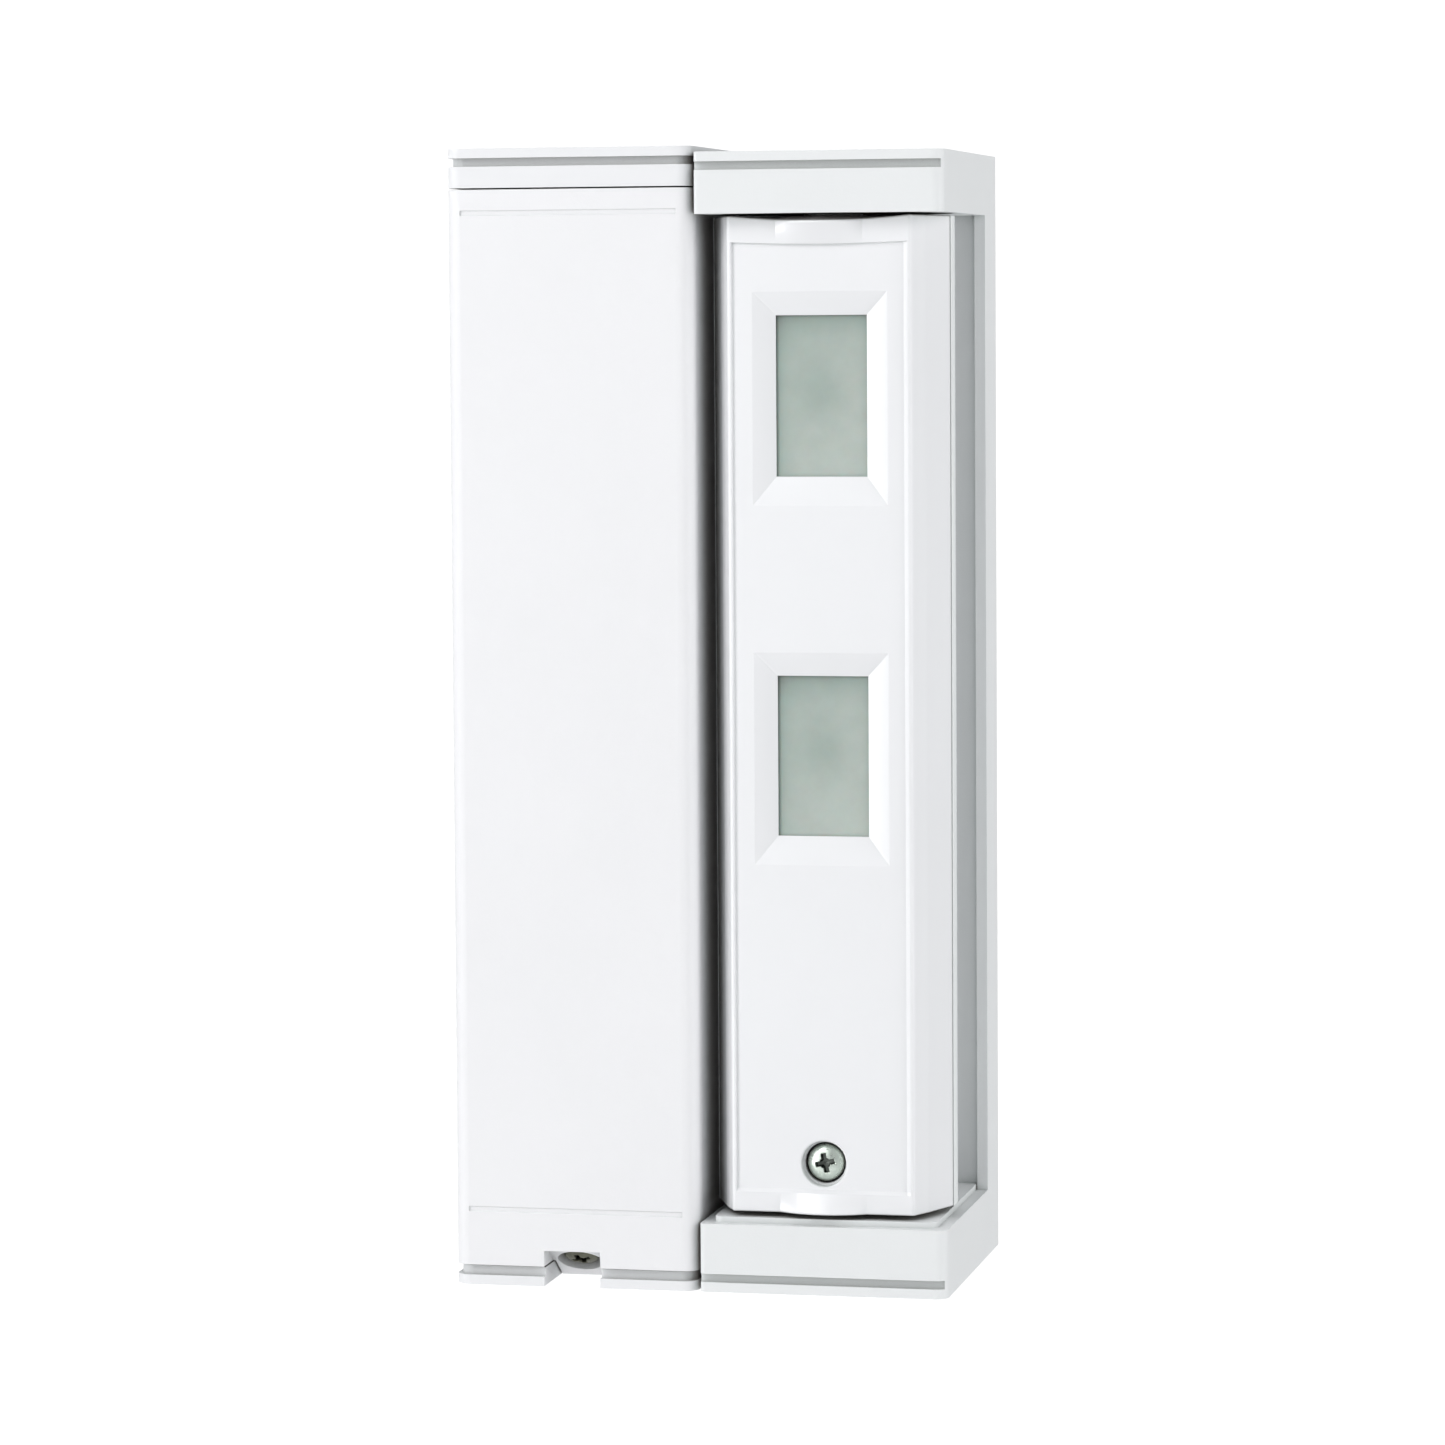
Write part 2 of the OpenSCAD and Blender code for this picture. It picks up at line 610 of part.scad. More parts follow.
module bush(z0, h) {
    difference() {
        rod_z(axis_x, axis_y, z0, z0 + h, bush_d / 2);
        rod_z(axis_x, axis_y, z0 - 1, z0 + h + 1, pivot_d / 2 + pivot_fit);
    }
}

module upper_bush() { color([0.9, 0.9, 0.86]) stand() bush(top_ledge_z, upper_bush_h); }

module lower_bush() { color([0.9, 0.9, 0.86]) stand() bush(well_z1, bush_h); }

wheel_r = 7.4;
wheel_teeth = 36;
wheel_h = 1.6;
wheel_z0 = well_z1 - wheel_h - 0.3;

// Leaf spring that rests beside the click wheel
module detent_spring() {
    y = axis_y - wheel_r - 0.3;
    color([0.75, 0.75, 0.76]) stand() {
        block([axis_x - 4, y - 0.35, wheel_z0], [axis_x + 4, y, wheel_z0 + wheel_h]);
        for (sx = [-1, 1])
            block([axis_x + sx * 3.7 - 0.3, y - 1.2, wheel_z0], [axis_x + sx * 3.7 + 0.3, y, well_z1]);
    }
}

// A round rod through a list of corners, each leg along one axis
module lead(pts) {
    for (i = [0:len(pts) - 2]) {
        p = pts[i];
        d = pts[i + 1] - p;
        turn = d[0] != 0 ? [0, d[0] > 0 ? 90 : -90, 0] : d[1] != 0 ? [d[1] > 0 ? -90 : 90, 0, 0] : [d[2] > 0 ? 0 : 180, 0, 0];
        translate(p) rotate(turn) cylinder(d = lead_d, h = norm(d));
        if (i > 0) translate(p) sphere(d = lead_d);
    }
}

// Two-core lead from under the swivel, through both walls, up to the terminal block
module box_lead() {
    y0 = tray_floor_y - 1.8;
    z0 = well_z0 + lead_d / 2 + 0.1;
    x1 = box_x1 - tray_wall - 1.2;
    x2 = box_cx + terminal_pitch * (terminal_ways / 2 - 0.5);
    z1 = tx_z0 - 3;
    y1 = tx_face - 3;
    color([0.12, 0.12, 0.13]) stand() lead([[axis_x, axis_y, z0], [axis_x, y0, z0], [axis_x, y0, lead_cross_z],
        [x1, y0, lead_cross_z], [x1, y0, z1], [x1, y1, z1], [x2, y1, z1], [x2, y1, tx_z0 + 9]]);
}

// Front, sides and ends of the battery box in one shell, with the slanted screw seat in its chin
module battery_cover() {
    u0 = front_y;
    half = notch_w / 2;
    color([0.95, 0.95, 0.955]) stand() difference() {
        union() {
            difference() {
                intersection() {
                    slab(box_outline, cover_z0, cover_z1);
                    block([box_x0 - 1, front_y - 1, 0], [box_x1 + 1, -tray_d - cover_gap, height]);
                }
                slab(round_rect([box_x0 + cover_wall, front_y + cover_wall], [box_x1 - cover_wall, 0],
                    [1, 1, 0.5, 0.5]), cover_z0 + cover_wall, cover_z1 - cover_wall);
            }
            // Chin block that carries the screw
            block([notch_x - half - 1.6, u0 + 1, cover_z0], [notch_x + half + 1.6, u0 + notch_d + chin_back, chin_h]);
            block([notch_x - half + air, u0 + 1, fit], [notch_x + half - air, u0 + notch_d + chin_back, cover_z0 + eps]);
            // Rib that meets the tamper plunger
            rod_y(box_cx, tamper_z, front_y + 1, tx_face - tamper_body_d - plunger_len - air, 2);
        }
        // Way out over the base's lug
        block([notch_x - lug_w / 2 - air, u0 + lug_u - air - fit, 0],
            [notch_x + lug_w / 2 + air, 0, cover_z0 + cover_wall + 1]);
        // Opening in the front wall
        block([notch_x - half, u0 - 1, -1], [notch_x + half, u0 + cover_wall, notch_h]);
        // Wedge in front of the slanted seat
        translate([notch_x + half, u0, 0]) rotate([0, -90, 0]) linear_extrude(notch_w)
            polygon([[-1, cover_wall - fit], [notch_h, cover_wall - fit], [notch_h, cover_wall],
                [-1, notch_d + 1 / tan(seat_slope)]]);
        // Counterbore and hole, square to the seat
        translate([notch_x, u0 + seat_u, seat_z]) rotate([-seat_slope, 0, 0]) {
            translate([0, 0, -1]) cylinder(d = counterbore_d, h = 1 + screw_head_h);
            cylinder(d = screw_d + 0.4, h = 20);
        }
        for (z = [cover_z0 + line_low_in, cover_z1 - line_high_in])
            block([box_x0 + edge_r, front_y - 1, z], [box_x1 - edge_r, front_y + 0.25, z + line_h]);
    }
}

// Axis of the cover screw: the head's seat is screw_head_h below the slanted face
module at_cover_screw() {
    translate([notch_x, front_y + seat_u, seat_z]) rotate([-seat_slope, 0, 0]) children();
}

module cover_screw() {
    color([0.68, 0.7, 0.62]) stand() at_cover_screw() mirror([0, 0, 1])
        pan_screw(screw_head_d, screw_head_h - 0.4, screw_d, cover_screw_l, 4);
}

module cover_screw_washer() {
    color([0.12, 0.12, 0.13]) stand() at_cover_screw() translate([0, 0, screw_head_h - 0.4]) difference() {
        cylinder(d = screw_head_d + 0.6, h = 0.4);
        translate([0, 0, -1]) cylinder(d = screw_d + 0.1, h = 3);
    }
}

// Round-backed rear half of the head, with both hollow pivots, screw boss and board posts
module head_rear_shell() {
    outer = concat(rear_half(0), mirrored(rear_half(0)));
    inner = concat(rear_half(head_wall), mirrored(rear_half(head_wall)));
    lip = 0.7;
    color([0.84, 0.86, 0.87]) stand() difference() {
        union() {
            difference() {
                on_head() slab(outer, head_z0, head_z1);
                on_head() slab(inner, head_z0 + head_wall, head_z1 - head_wall);
                on_head() block([-head_r + head_wall, front_d - 1, head_z0 + head_wall],
                    [head_r - head_wall, front_d + 1, head_z1 - head_wall]);
            }
            // Inner frame that the seal sits on
            difference() {
                on_head() block([-head_r + 0.5, front_d, head_z0 + 0.5], [head_r - 0.5, front_d + lip, head_z1 - 0.5]);
                on_head() block([-head_r + head_wall + 1.5, front_d - 1, head_z0 + head_wall + 1.5],
                    [head_r - head_wall - 1.5, front_d + 3, head_z1 - head_wall - 1.5]);
            }
            // End discs and pivots
            rod_z(axis_x, axis_y, head_z0, head_z0 + head_wall, pivot_d / 2 + 1.8);
            rod_z(axis_x, axis_y, head_z1 - head_wall, head_z1, pivot_d / 2 + 1.8);
            rod_z(axis_x, axis_y, wheel_z0, head_z0 + eps, pivot_d / 2);
            rod_z(axis_x, axis_y, head_z1 - eps, top_ledge_z + upper_bush_h + 1, pivot_d / 2);
            // Boss for the front screw
            rod_y(axis_x, front_screw_z, head_y + 8.6, head_y + head_nose + head_r - 1, 3.4);
            for (sx = [-1, 1]) for (z = [board_z0 + post_in, board_z1 - post_in])
                rod_y(axis_x + sx * post_x, z, head_y + board_d + board_t,
                    head_y + head_nose + sqrt(head_r * head_r - pow(post_x + post_r, 2)) - 0.3, post_r);
        }
        rod_z(axis_x, axis_y, wheel_z0 - 1, head_z0 + head_wall + 2, 2.6);
        rod_y(axis_x, front_screw_z, head_y + 8, head_y + head_nose + head_r - 3, screw_d / 2 + 0.05);
        for (sx = [-1, 1]) for (z = [board_z0 + post_in, board_z1 - post_in])
            rod_y(axis_x + sx * post_x, z, head_y + board_d, head_y + board_d + board_t + 6, 1.05);
    }
}

// Toothed ring on the lower pivot, five-degree half steps
module click_wheel() {
    pts = [for (i = [0:2 * wheel_teeth - 1])
        let (a = 180 * i / wheel_teeth, r = i % 2 == 0 ? wheel_r : wheel_r - 0.5) [r * cos(a), r * sin(a)]];
    color([0.9, 0.9, 0.86]) stand() difference() {
        translate([axis_x, axis_y, 0]) slab(pts, wheel_z0, wheel_z0 + wheel_h);
        rod_z(axis_x, axis_y, wheel_z0 - 1, wheel_z0 + 4, pivot_d / 2 + 0.02);
    }
}

module sensor_board() {
    color([0.1, 0.36, 0.2]) stand() on_head() difference() {
        block([-sensor_board_w / 2, board_d, board_z0], [sensor_board_w / 2, board_d + board_t, board_z1]);
        for (sx = [-1, 1]) for (z = [board_z0 + post_in, board_z1 - post_in])
            rod_y(sx * post_x, z, board_d - 1, board_d + 3, 1.3);
    }
}

module sensor_board_screws() {
    color([0.62, 0.63, 0.6]) stand() on_head()
        for (sx = [-1, 1]) for (z = [board_z0 + post_in, board_z1 - post_in])
            translate([sx * post_x, board_d - 1.4, z]) rotate([90, 0, 0]) pan_screw(4, 1.4, 2, board_t + 4, 2.4);
}

// Metal can with a square window
module heat_sensor(z) {
    on_head() difference() {
        union() {
            rod_y(0, z, board_d - can_h, board_d, can_d / 2);
            rod_y(0, z, board_d - 0.6, board_d, can_d / 2 + 0.5);
        }
        block([-2, board_d - can_h - 1, z - 1.5], [2, board_d - can_h + 0.3, z + 1.5]);
    }
}

module upper_heat_sensor() { color([0.72, 0.72, 0.7]) stand() heat_sensor(upper_lens_z); }

module lower_heat_sensor() { color([0.72, 0.72, 0.7]) stand() heat_sensor(lower_lens_z); }

// Black light box between the lens and the board
module baffle(z) {
    w = lens_w + 3;
    h = lens_h + 3;
    y0 = lens_y - head_y + lens_t + 1.2 + baffle_gap;
    on_head() difference() {
        block([-w / 2, y0, z - h / 2], [w / 2, board_d, z + h / 2]);
        block([-w / 2 + 1, y0 - 1, z - h / 2 + 1], [w / 2 - 1, board_d - 1, z + h / 2 - 1]);
        rod_y(0, z, board_d - 2, board_d + 1, can_d / 2 + 0.8);
    }
}

module upper_baffle() { color([0.09, 0.09, 0.1]) stand() baffle(upper_lens_z); }

module lower_baffle() { color([0.09, 0.09, 0.1]) stand() baffle(lower_lens_z); }

lamp_z = (upper_lens_z + lower_lens_z) / 2;

module alarm_lamp() {
    color([0.8, 0.1, 0.1]) stand() on_head() {
        rod_y(0, lamp_z, board_d - 3, board_d, 1.5);
        translate([0, board_d - 3, lamp_z]) sphere(r = 1.5);
    }
}

plug_x = 7.5;

module lead_plug() {
    color([0.92, 0.92, 0.88]) stand() on_head()
        block([plug_x - 3.5, board_d - 5.5, board_z0 + 9], [plug_x + 3.5, board_d, board_z0 + 15]);
}

// Lead from the plug down through the hollow lower pivot
module head_lead() {
    r = lead_d / 2;
    z = head_z0 + head_wall + r + 0.15;
    color([0.12, 0.12, 0.13]) stand() on_head() lead([[plug_x, head_nose, board_z0 + 9], [plug_x, head_nose, z],
        [0, head_nose, z], [0, head_nose, wheel_z0 + 0.2]]);
}

// Three-position range switch
switch_z = board_z0 + 22;
switch_travel = 2;

module range_switch() {
    color([0.1, 0.1, 0.11]) stand() on_head() difference() {
        block([-7, board_d - 3.5, switch_z - 2.6], [3, board_d, switch_z + 2.6]);
        block([-2 - 1.2 - switch_travel - 0.2, board_d - 5, switch_z - 1.2],
            [-2 + 1.2 + switch_travel + 0.2, board_d - 2, switch_z + 1.2]);
    }
}

module range_switch_knob() {
    color([0.93, 0.93, 0.9]) stand() on_head()
        block([-2 - 1.2, board_d - 5.2, switch_z - 0.9], [-2 + 1.2, board_d - 2.3, switch_z + 0.9]);
}

module head_gasket() {
    half = head_r - head_wall - 0.9;
    z0 = head_z0 + head_wall + 0.5;
    z1 = head_z1 - head_wall - 0.5;
    color([0.16, 0.16, 0.17]) stand() on_head() difference() {
        block([-half, front_d - 1, z0], [half, front_d, z1]);
        block([-half + 0.9, front_d - 2, z0 + 0.9], [half - 0.9, front_d + 1, z1 - 0.9]);
    }
}

// Frustum with straight sides: full size at the front plane, lens size at the lens plane
module window_cut(z) {
    d0 = panel_d - 1;
    d1 = panel_d + bevel_d;
    gx = bevel_w / bevel_d;
    gl = bevel_low_h / bevel_d;
    gh = bevel_top_h / bevel_d;
    intersection() {
        translate([0, 0, z - 40]) linear_extrude(80) polygon([
            [-lens_w / 2, d1], [-lens_w / 2 - gx * (d1 - d0), d0], [lens_w / 2 + gx * (d1 - d0), d0], [lens_w / 2, d1]]);
        translate([-40, 0, z]) rotate([90, 0, 90]) linear_extrude(80) polygon([
            [d1, -lens_h / 2], [d0, -lens_h / 2 - gl * (d1 - d0)], [d0, lens_h / 2 + gh * (d1 - d0)], [d1, lens_h / 2]]);
    }
    block([-lens_w / 2, d1 - 0.5, z - lens_h / 2], [lens_w / 2, d1 + 3, z + lens_h / 2]);
}

// Front half of the head: faceted sides, recessed panel, two bevelled windows and the screw well
module head_front_cover() {
    outer = concat(front_half(0), mirrored(front_half(0)));
    inner = concat(front_half(head_wall + 0.1), mirrored(front_half(head_wall + 0.1)));
    frame_x = lens_w / 2 + bevel_w + 0.9;
    frame_z = lens_h / 2 + bevel_low_h + 0.9;
    boss_r = (pow(boss_w / 2, 2) + pow(boss_out, 2)) / (2 * boss_out);
    color([0.95, 0.95, 0.955]) stand() difference() {
        union() {
            difference() {
                on_head() slab(outer, head_z0, head_z1);
                on_head() slab(inner, head_z0 + head_wall, head_z1 - head_wall);
                on_head() block([-head_r, front_d - cover_gap, 0], [head_r, front_d + 5, height]);
                rod_z(axis_x, axis_y, 0, height, pivot_d / 2 + 1.8 + air);
                on_head() block([-panel_w / 2, -1, head_z0 + border_low_h],
                    [panel_w / 2, panel_d, head_z1 - border_top_h]);
            }
            // Curved boss across each border
            for (b = [[head_z0, border_low_h], [head_z1 - border_top_h, border_top_h]]) intersection() {
                on_head() rod_z(0, boss_r - boss_out, b[0], b[0] + b[1], boss_r);
                on_head() block([-boss_w / 2, -boss_out - 1, b[0]], [boss_w / 2, 1, b[0] + b[1]]);
            }
            for (z = [upper_lens_z, lower_lens_z])
                on_head() block([-frame_x, panel_d + 0.5, z - frame_z], [frame_x, lens_in, z + frame_z]);
            rod_y(axis_x, front_screw_z, head_y + 1, head_y + 8.2, counterbore_d / 2 + 1.2);
        }
        for (z = [upper_lens_z, lower_lens_z]) on_head() window_cut(z);
        rod_y(axis_x, front_screw_z, head_y - 3, head_y + screw_seat + seal_t, counterbore_d / 2);
        rod_y(axis_x, front_screw_z, head_y, head_y + 10, screw_d / 2 + 0.2);
    }
}

module lens(z) {
    on_head() block([-lens_w / 2 - 1.2, lens_in, z - lens_h / 2 - 1.2],
        [lens_w / 2 + 1.2, lens_in + lens_t, z + lens_h / 2 + 1.2]);
}

module upper_lens() { color([0.68, 0.72, 0.7]) stand() lens(upper_lens_z); }

module lower_lens() { color([0.68, 0.72, 0.7]) stand() lens(lower_lens_z); }

module retainer(z) {
    y0 = lens_in + lens_t;
    on_head() difference() {
        block([-lens_w / 2 - 2.4, y0, z - lens_h / 2 - 2.4], [lens_w / 2 + 2.4, y0 + 1.2, z + lens_h / 2 + 2.4]);
        block([-lens_w / 2 + 0.4, y0 - 1, z - lens_h / 2 + 0.4], [lens_w / 2 - 0.4, y0 + 3, z + lens_h / 2 - 0.4]);
    }
}

module upper_lens_retainer() { color([0.2, 0.2, 0.21]) stand() retainer(upper_lens_z); }

module lower_lens_retainer() { color([0.2, 0.2, 0.21]) stand() retainer(lower_lens_z); }

module head_screw_seal() {
    color([0.12, 0.12, 0.13]) stand() difference() {
        rod_y(axis_x, front_screw_z, head_y + screw_seat, head_y + screw_seat + seal_t, screw_head_d / 2 + 0.3);
        rod_y(axis_x, front_screw_z, head_y, head_y + 8, screw_d / 2 + 0.05);
    }
}

module head_cover_screw() {
    color([0.68, 0.7, 0.62]) stand()
        translate([axis_x, head_y + screw_seat - screw_head_h, front_screw_z]) rotate([90, 0, 0])
        pan_screw(screw_head_d, screw_head_h, screw_d, 16, 4);
}

back_plate();
box_base();
swivel_bracket();
ledge_cap();
box_fixing_screws();
bracket_fixing_screws();
cable_grommet();
cover_gasket();
battery_holder();
upper_battery();
lower_battery();
battery_springs();
battery_contacts();
transmitter_board();
radio_shield();
antenna_wire();
terminal_block();
terminal_screws();
transmitter_board_screws();
tamper_switch();
tamper_spring();
upper_bush();
lower_bush();
detent_spring();
box_lead();
tamper_plunger();
battery_cover();
cover_screw();
cover_screw_washer();
head_rear_shell();
click_wheel();
sensor_board();
sensor_board_screws();
upper_heat_sensor();
lower_heat_sensor();
upper_baffle();
lower_baffle();
alarm_lamp();
lead_plug();
head_lead();
range_switch();
head_gasket();
range_switch_knob();
head_front_cover();
upper_lens();
lower_lens();
upper_lens_retainer();
lower_lens_retainer();
head_cover_screw();
head_screw_seal();
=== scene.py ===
# Outdoor curtain motion detector: shells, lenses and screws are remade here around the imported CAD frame
import math
import bmesh
import bpy
import numpy as np
from mathutils import Matrix


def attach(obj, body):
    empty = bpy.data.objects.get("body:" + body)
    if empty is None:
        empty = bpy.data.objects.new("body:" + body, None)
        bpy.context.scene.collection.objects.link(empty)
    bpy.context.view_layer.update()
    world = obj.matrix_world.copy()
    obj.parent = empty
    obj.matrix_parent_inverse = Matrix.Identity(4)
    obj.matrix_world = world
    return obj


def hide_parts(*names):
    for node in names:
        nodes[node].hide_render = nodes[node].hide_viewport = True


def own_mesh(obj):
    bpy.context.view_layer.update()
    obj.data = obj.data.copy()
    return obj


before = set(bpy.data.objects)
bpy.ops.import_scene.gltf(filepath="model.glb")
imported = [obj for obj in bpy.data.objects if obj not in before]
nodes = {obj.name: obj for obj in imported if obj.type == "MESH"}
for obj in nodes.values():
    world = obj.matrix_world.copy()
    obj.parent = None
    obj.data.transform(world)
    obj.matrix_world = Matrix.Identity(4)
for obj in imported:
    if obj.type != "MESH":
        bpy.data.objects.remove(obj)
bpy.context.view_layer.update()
scene = bpy.context.scene
mm = 0.001
print("frame loaded:", len(nodes), "nodes")

cameraSetup = {
    "place": (0.1866, -0.9116, 0.0669),
    "yaw": 12.596,       # degrees to the left of straight on
    "pitch": 3.742,      # degrees down
    "roll": 0.397,
    "lens": 134.07,
    "shift": (0.04, -0.04),
}


def makeCamera(setup):
    # Axes of the view worked out from yaw and pitch, then turned by the roll
    yaw, pitch, roll = (math.radians(setup[k]) for k in ("yaw", "pitch", "roll"))
    ahead = np.array([-math.sin(yaw) * math.cos(pitch), math.cos(yaw) * math.cos(pitch), -math.sin(pitch)])
    right = np.array([math.cos(yaw), math.sin(yaw), 0.0])
    down = np.cross(ahead, right)
    across = math.cos(roll) * right + math.sin(roll) * down
    up = math.sin(roll) * right - math.cos(roll) * down
    data = bpy.data.cameras.new("viewCamera")
    data.lens = setup["lens"]
    data.sensor_width = 36
    data.shift_x, data.shift_y = setup["shift"]
    data.clip_start, data.clip_end = 0.05, 20
    cam = bpy.data.objects.new("viewCamera", data)
    scene.collection.objects.link(cam)
    turn = np.eye(4)
    turn[:3, 0], turn[:3, 1], turn[:3, 2], turn[:3, 3] = across, up, -ahead, setup["place"]
    cam.matrix_world = Matrix(turn.tolist())
    scene.camera = cam


makeCamera(cameraSetup)


class Finish:
    # A material with short calls for the nodes that the finishes share

    def __init__(self, name):
        self.mat = bpy.data.materials.new(name)
        self.mat.use_nodes = True
        self.tree = self.mat.node_tree
        self.shader = self.tree.nodes["Principled BSDF"]
        self.coords = self.node("ShaderNodeTexCoord").outputs["Object"]

    def node(self, kind, **values):
        made = self.tree.nodes.new(kind)
        for key, value in values.items():
            if key in made.inputs:
                made.inputs[key].default_value = value
            else:
                setattr(made, key, value)
        return made

    def link(self, a, b):
        self.tree.links.new(a, b)

    def noise(self, size, detail=3.0, roughness=0.55, stretch=None):
        tex = self.node("ShaderNodeTexNoise")
        tex.inputs["Scale"].default_value = 1.0 / size
        tex.inputs["Detail"].default_value = detail
        tex.inputs["Roughness"].default_value = roughness
        source = self.coords
        if stretch is not None:
            mapping = self.node("ShaderNodeMapping")
            mapping.inputs["Scale"].default_value = stretch
            self.link(self.coords, mapping.inputs["Vector"])
            source = mapping.outputs["Vector"]
        self.link(source, tex.inputs["Vector"])
        return tex.outputs["Fac"]

    def ramp(self, fac, stops):
        ramp = self.node("ShaderNodeValToRGB").color_ramp
        holder = self.tree.nodes[-1]
        while len(ramp.elements) < len(stops):
            ramp.elements.new(0.5)
        for element, (place, value) in zip(ramp.elements, stops):
            element.position = place
            rgb = value if isinstance(value, (tuple, list)) else (value,) * 3
            element.color = (*rgb, 1.0)
        self.link(fac, holder.inputs["Fac"])
        return holder.outputs["Color"]

    def bump(self, heights):
        # Each pair is a height field and the depth in metres that it stands for
        normal = None
        for height, depth in heights:
            bump = self.node("ShaderNodeBump")
            bump.inputs["Strength"].default_value = 1.0
            bump.inputs["Distance"].default_value = depth
            self.link(height, bump.inputs["Height"])
            if normal is not None:
                self.link(normal, bump.inputs["Normal"])
            normal = bump.outputs["Normal"]
        self.link(normal, self.shader.inputs["Normal"])

    def set(self, **values):
        for key, value in values.items():
            socket = self.shader.inputs[key.replace("_", " ")]
            socket.default_value = (*value, 1.0) if socket.type == "RGBA" else value


def tone(colour, factor):
    return tuple(min(1.0, c * factor) for c in colour)


# Sizes in metres of the slow mottle, the roughness patches and the waves of a moulded face
mouldMarks = {"mottle": 0.035, "patch": 0.012, "wave": 0.009, "draggedWave": 0.006, "waveDepth": 0.000002}


def mouldedPlastic(name, colour, rough, grain, grainDepth, mottle=0.02, coat=0.0, matte=None, reach=0.006):
    # Slow colour mottle, slightly patchy roughness, fine spark-eroded grain, and shade in gaps within reach
    marks = mouldMarks
    f = Finish(name)
    f.set(Specular_IOR_Level=0.5, Coat_Weight=coat, Coat_Roughness=0.12, IOR=1.48)
    slow = f.noise(marks["mottle"], 4.0)
    shade = f.node("ShaderNodeAmbientOcclusion", samples=6)
    shade.inputs["Distance"].default_value = reach
    crevice = f.ramp(shade.outputs["AO"], [(0.0, (0.34, 0.31, 0.29)), (0.5, (0.84, 0.86, 0.85)), (0.82, 1.0)])
    mottled = f.ramp(slow, [(0.1, tone(colour, 1 - mottle)), (0.9, tone(colour, 1 + mottle))])
    shaded = f.node("ShaderNodeMix", data_type="RGBA", blend_type="MULTIPLY")
    shaded.inputs["Factor"].default_value = 1.0
    f.link(mottled, shaded.inputs["A"])
    f.link(crevice, shaded.inputs["B"])
    f.link(shaded.outputs["Result"], f.shader.inputs["Base Color"])
    patchy = f.ramp(f.noise(marks["patch"], 3.0), [(0.0, rough * 0.97), (1.0, min(1.0, rough * 1.03))])
    if matte is None:
        f.link(patchy, f.shader.inputs["Roughness"])
        wave = f.noise(marks["wave"], 1.0)
    else:
        # The field called matte is 1 on the recessed panel: rougher there and without the glossy coat
        field = f.node("ShaderNodeAttribute", attribute_name="matte")
        mix = f.node("ShaderNodeMix", data_type="FLOAT")
        f.link(field.outputs["Fac"], mix.inputs["Factor"])
        f.link(patchy, mix.inputs["A"])
        mix.inputs["B"].default_value = matte
        f.link(mix.outputs["Result"], f.shader.inputs["Roughness"])
        f.link(f.ramp(field.outputs["Fac"], [(0.0, coat), (1.0, 0.0)]), f.shader.inputs["Coat Weight"])
        wave = f.noise(marks["draggedWave"], 1.0, stretch=(1, 1, 0.05))
    f.bump([(f.noise(grain, 2.5, 0.6), grainDepth), (wave, marks["waveDepth"])])
    return f.mat


def zincPlate(name, colour, rough):
    # Plated metal: blotchy plating, uneven polish and small pits
    f = Finish(name)
    f.set(Metallic=1.0)
    blotch = f.noise(0.0016, 4.0)
    plated = f.ramp(blotch, [(0.3, tone(colour, 0.8)), (0.55, colour), (0.75, tone(colour, 1.15))])
    # The field called cut is 1 inside a screw's recess, which is darkened with painted shade
    field = f.node("ShaderNodeAttribute", attribute_name="cut")
    mix = f.node("ShaderNodeMix", data_type="RGBA")
    f.link(field.outputs["Fac"], mix.inputs["Factor"])
    f.link(plated, mix.inputs["A"])
    mix.inputs["B"].default_value = (*tone(colour, 0.16), 1.0)
    f.link(mix.outputs["Result"], f.shader.inputs["Base Color"])
    f.link(f.ramp(f.noise(0.0006, 3.0), [(0.3, rough * 0.7), (0.7, rough * 1.4)]), f.shader.inputs["Roughness"])
    f.bump([(f.noise(0.0002, 2.0), 0.000012), (f.noise(0.0012, 2.0), 0.00004)])
    return f.mat


def softRubber(name, colour, rough):
    f = Finish(name)
    shades = [(0.3, tone(colour, 0.85)), (0.7, tone(colour, 1.25))]
    f.link(f.ramp(f.noise(0.004, 3.0), shades), f.shader.inputs["Base Color"])
    f.link(f.ramp(f.noise(0.0015, 3.0), [(0.3, rough * 0.9), (0.7, rough * 1.1)]), f.shader.inputs["Roughness"])
    f.bump([(f.noise(0.0004, 2.0), 0.00002)])
    return f.mat


# Tracks under the solder mask: sizes in metres, then the colours of the mask and of the lines
boardTracks = {
    "sizes": {"Scale": 1.0, "Mortar Size": 0.00012, "Mortar Smooth": 0.2, "Brick Width": 0.0062,
              "Row Height": 0.0011},
    "colours": {"Color1": (0.016, 0.13, 0.06), "Color2": (0.022, 0.16, 0.075), "Mortar": (0.06, 0.25, 0.12)},
}


def circuitBoard(name):
    # Green solder mask with paler tracks running up the board
    f = Finish(name)
    f.set(Coat_Weight=0.4, Coat_Roughness=0.15)
    apart = f.node("ShaderNodeSeparateXYZ")
    flat = f.node("ShaderNodeCombineXYZ")
    f.link(f.coords, apart.inputs["Vector"])
    f.link(apart.outputs["Z"], flat.inputs["X"])
    f.link(apart.outputs["X"], flat.inputs["Y"])
    tracks = f.node("ShaderNodeTexBrick", offset=0.37, offset_frequency=3, squash=0.45, squash_frequency=4)
    for key, value in boardTracks["sizes"].items():
        tracks.inputs[key].default_value = value
    for key, value in boardTracks["colours"].items():
        tracks.inputs[key].default_value = (*value, 1.0)
    f.link(flat.outputs["Vector"], tracks.inputs["Vector"])
    f.link(tracks.outputs["Color"], f.shader.inputs["Base Color"])
    f.link(f.ramp(f.noise(0.003), [(0.3, 0.3), (0.7, 0.42)]), f.shader.inputs["Roughness"])
    f.bump([(tracks.outputs["Fac"], 0.00003)])
    return f.mat


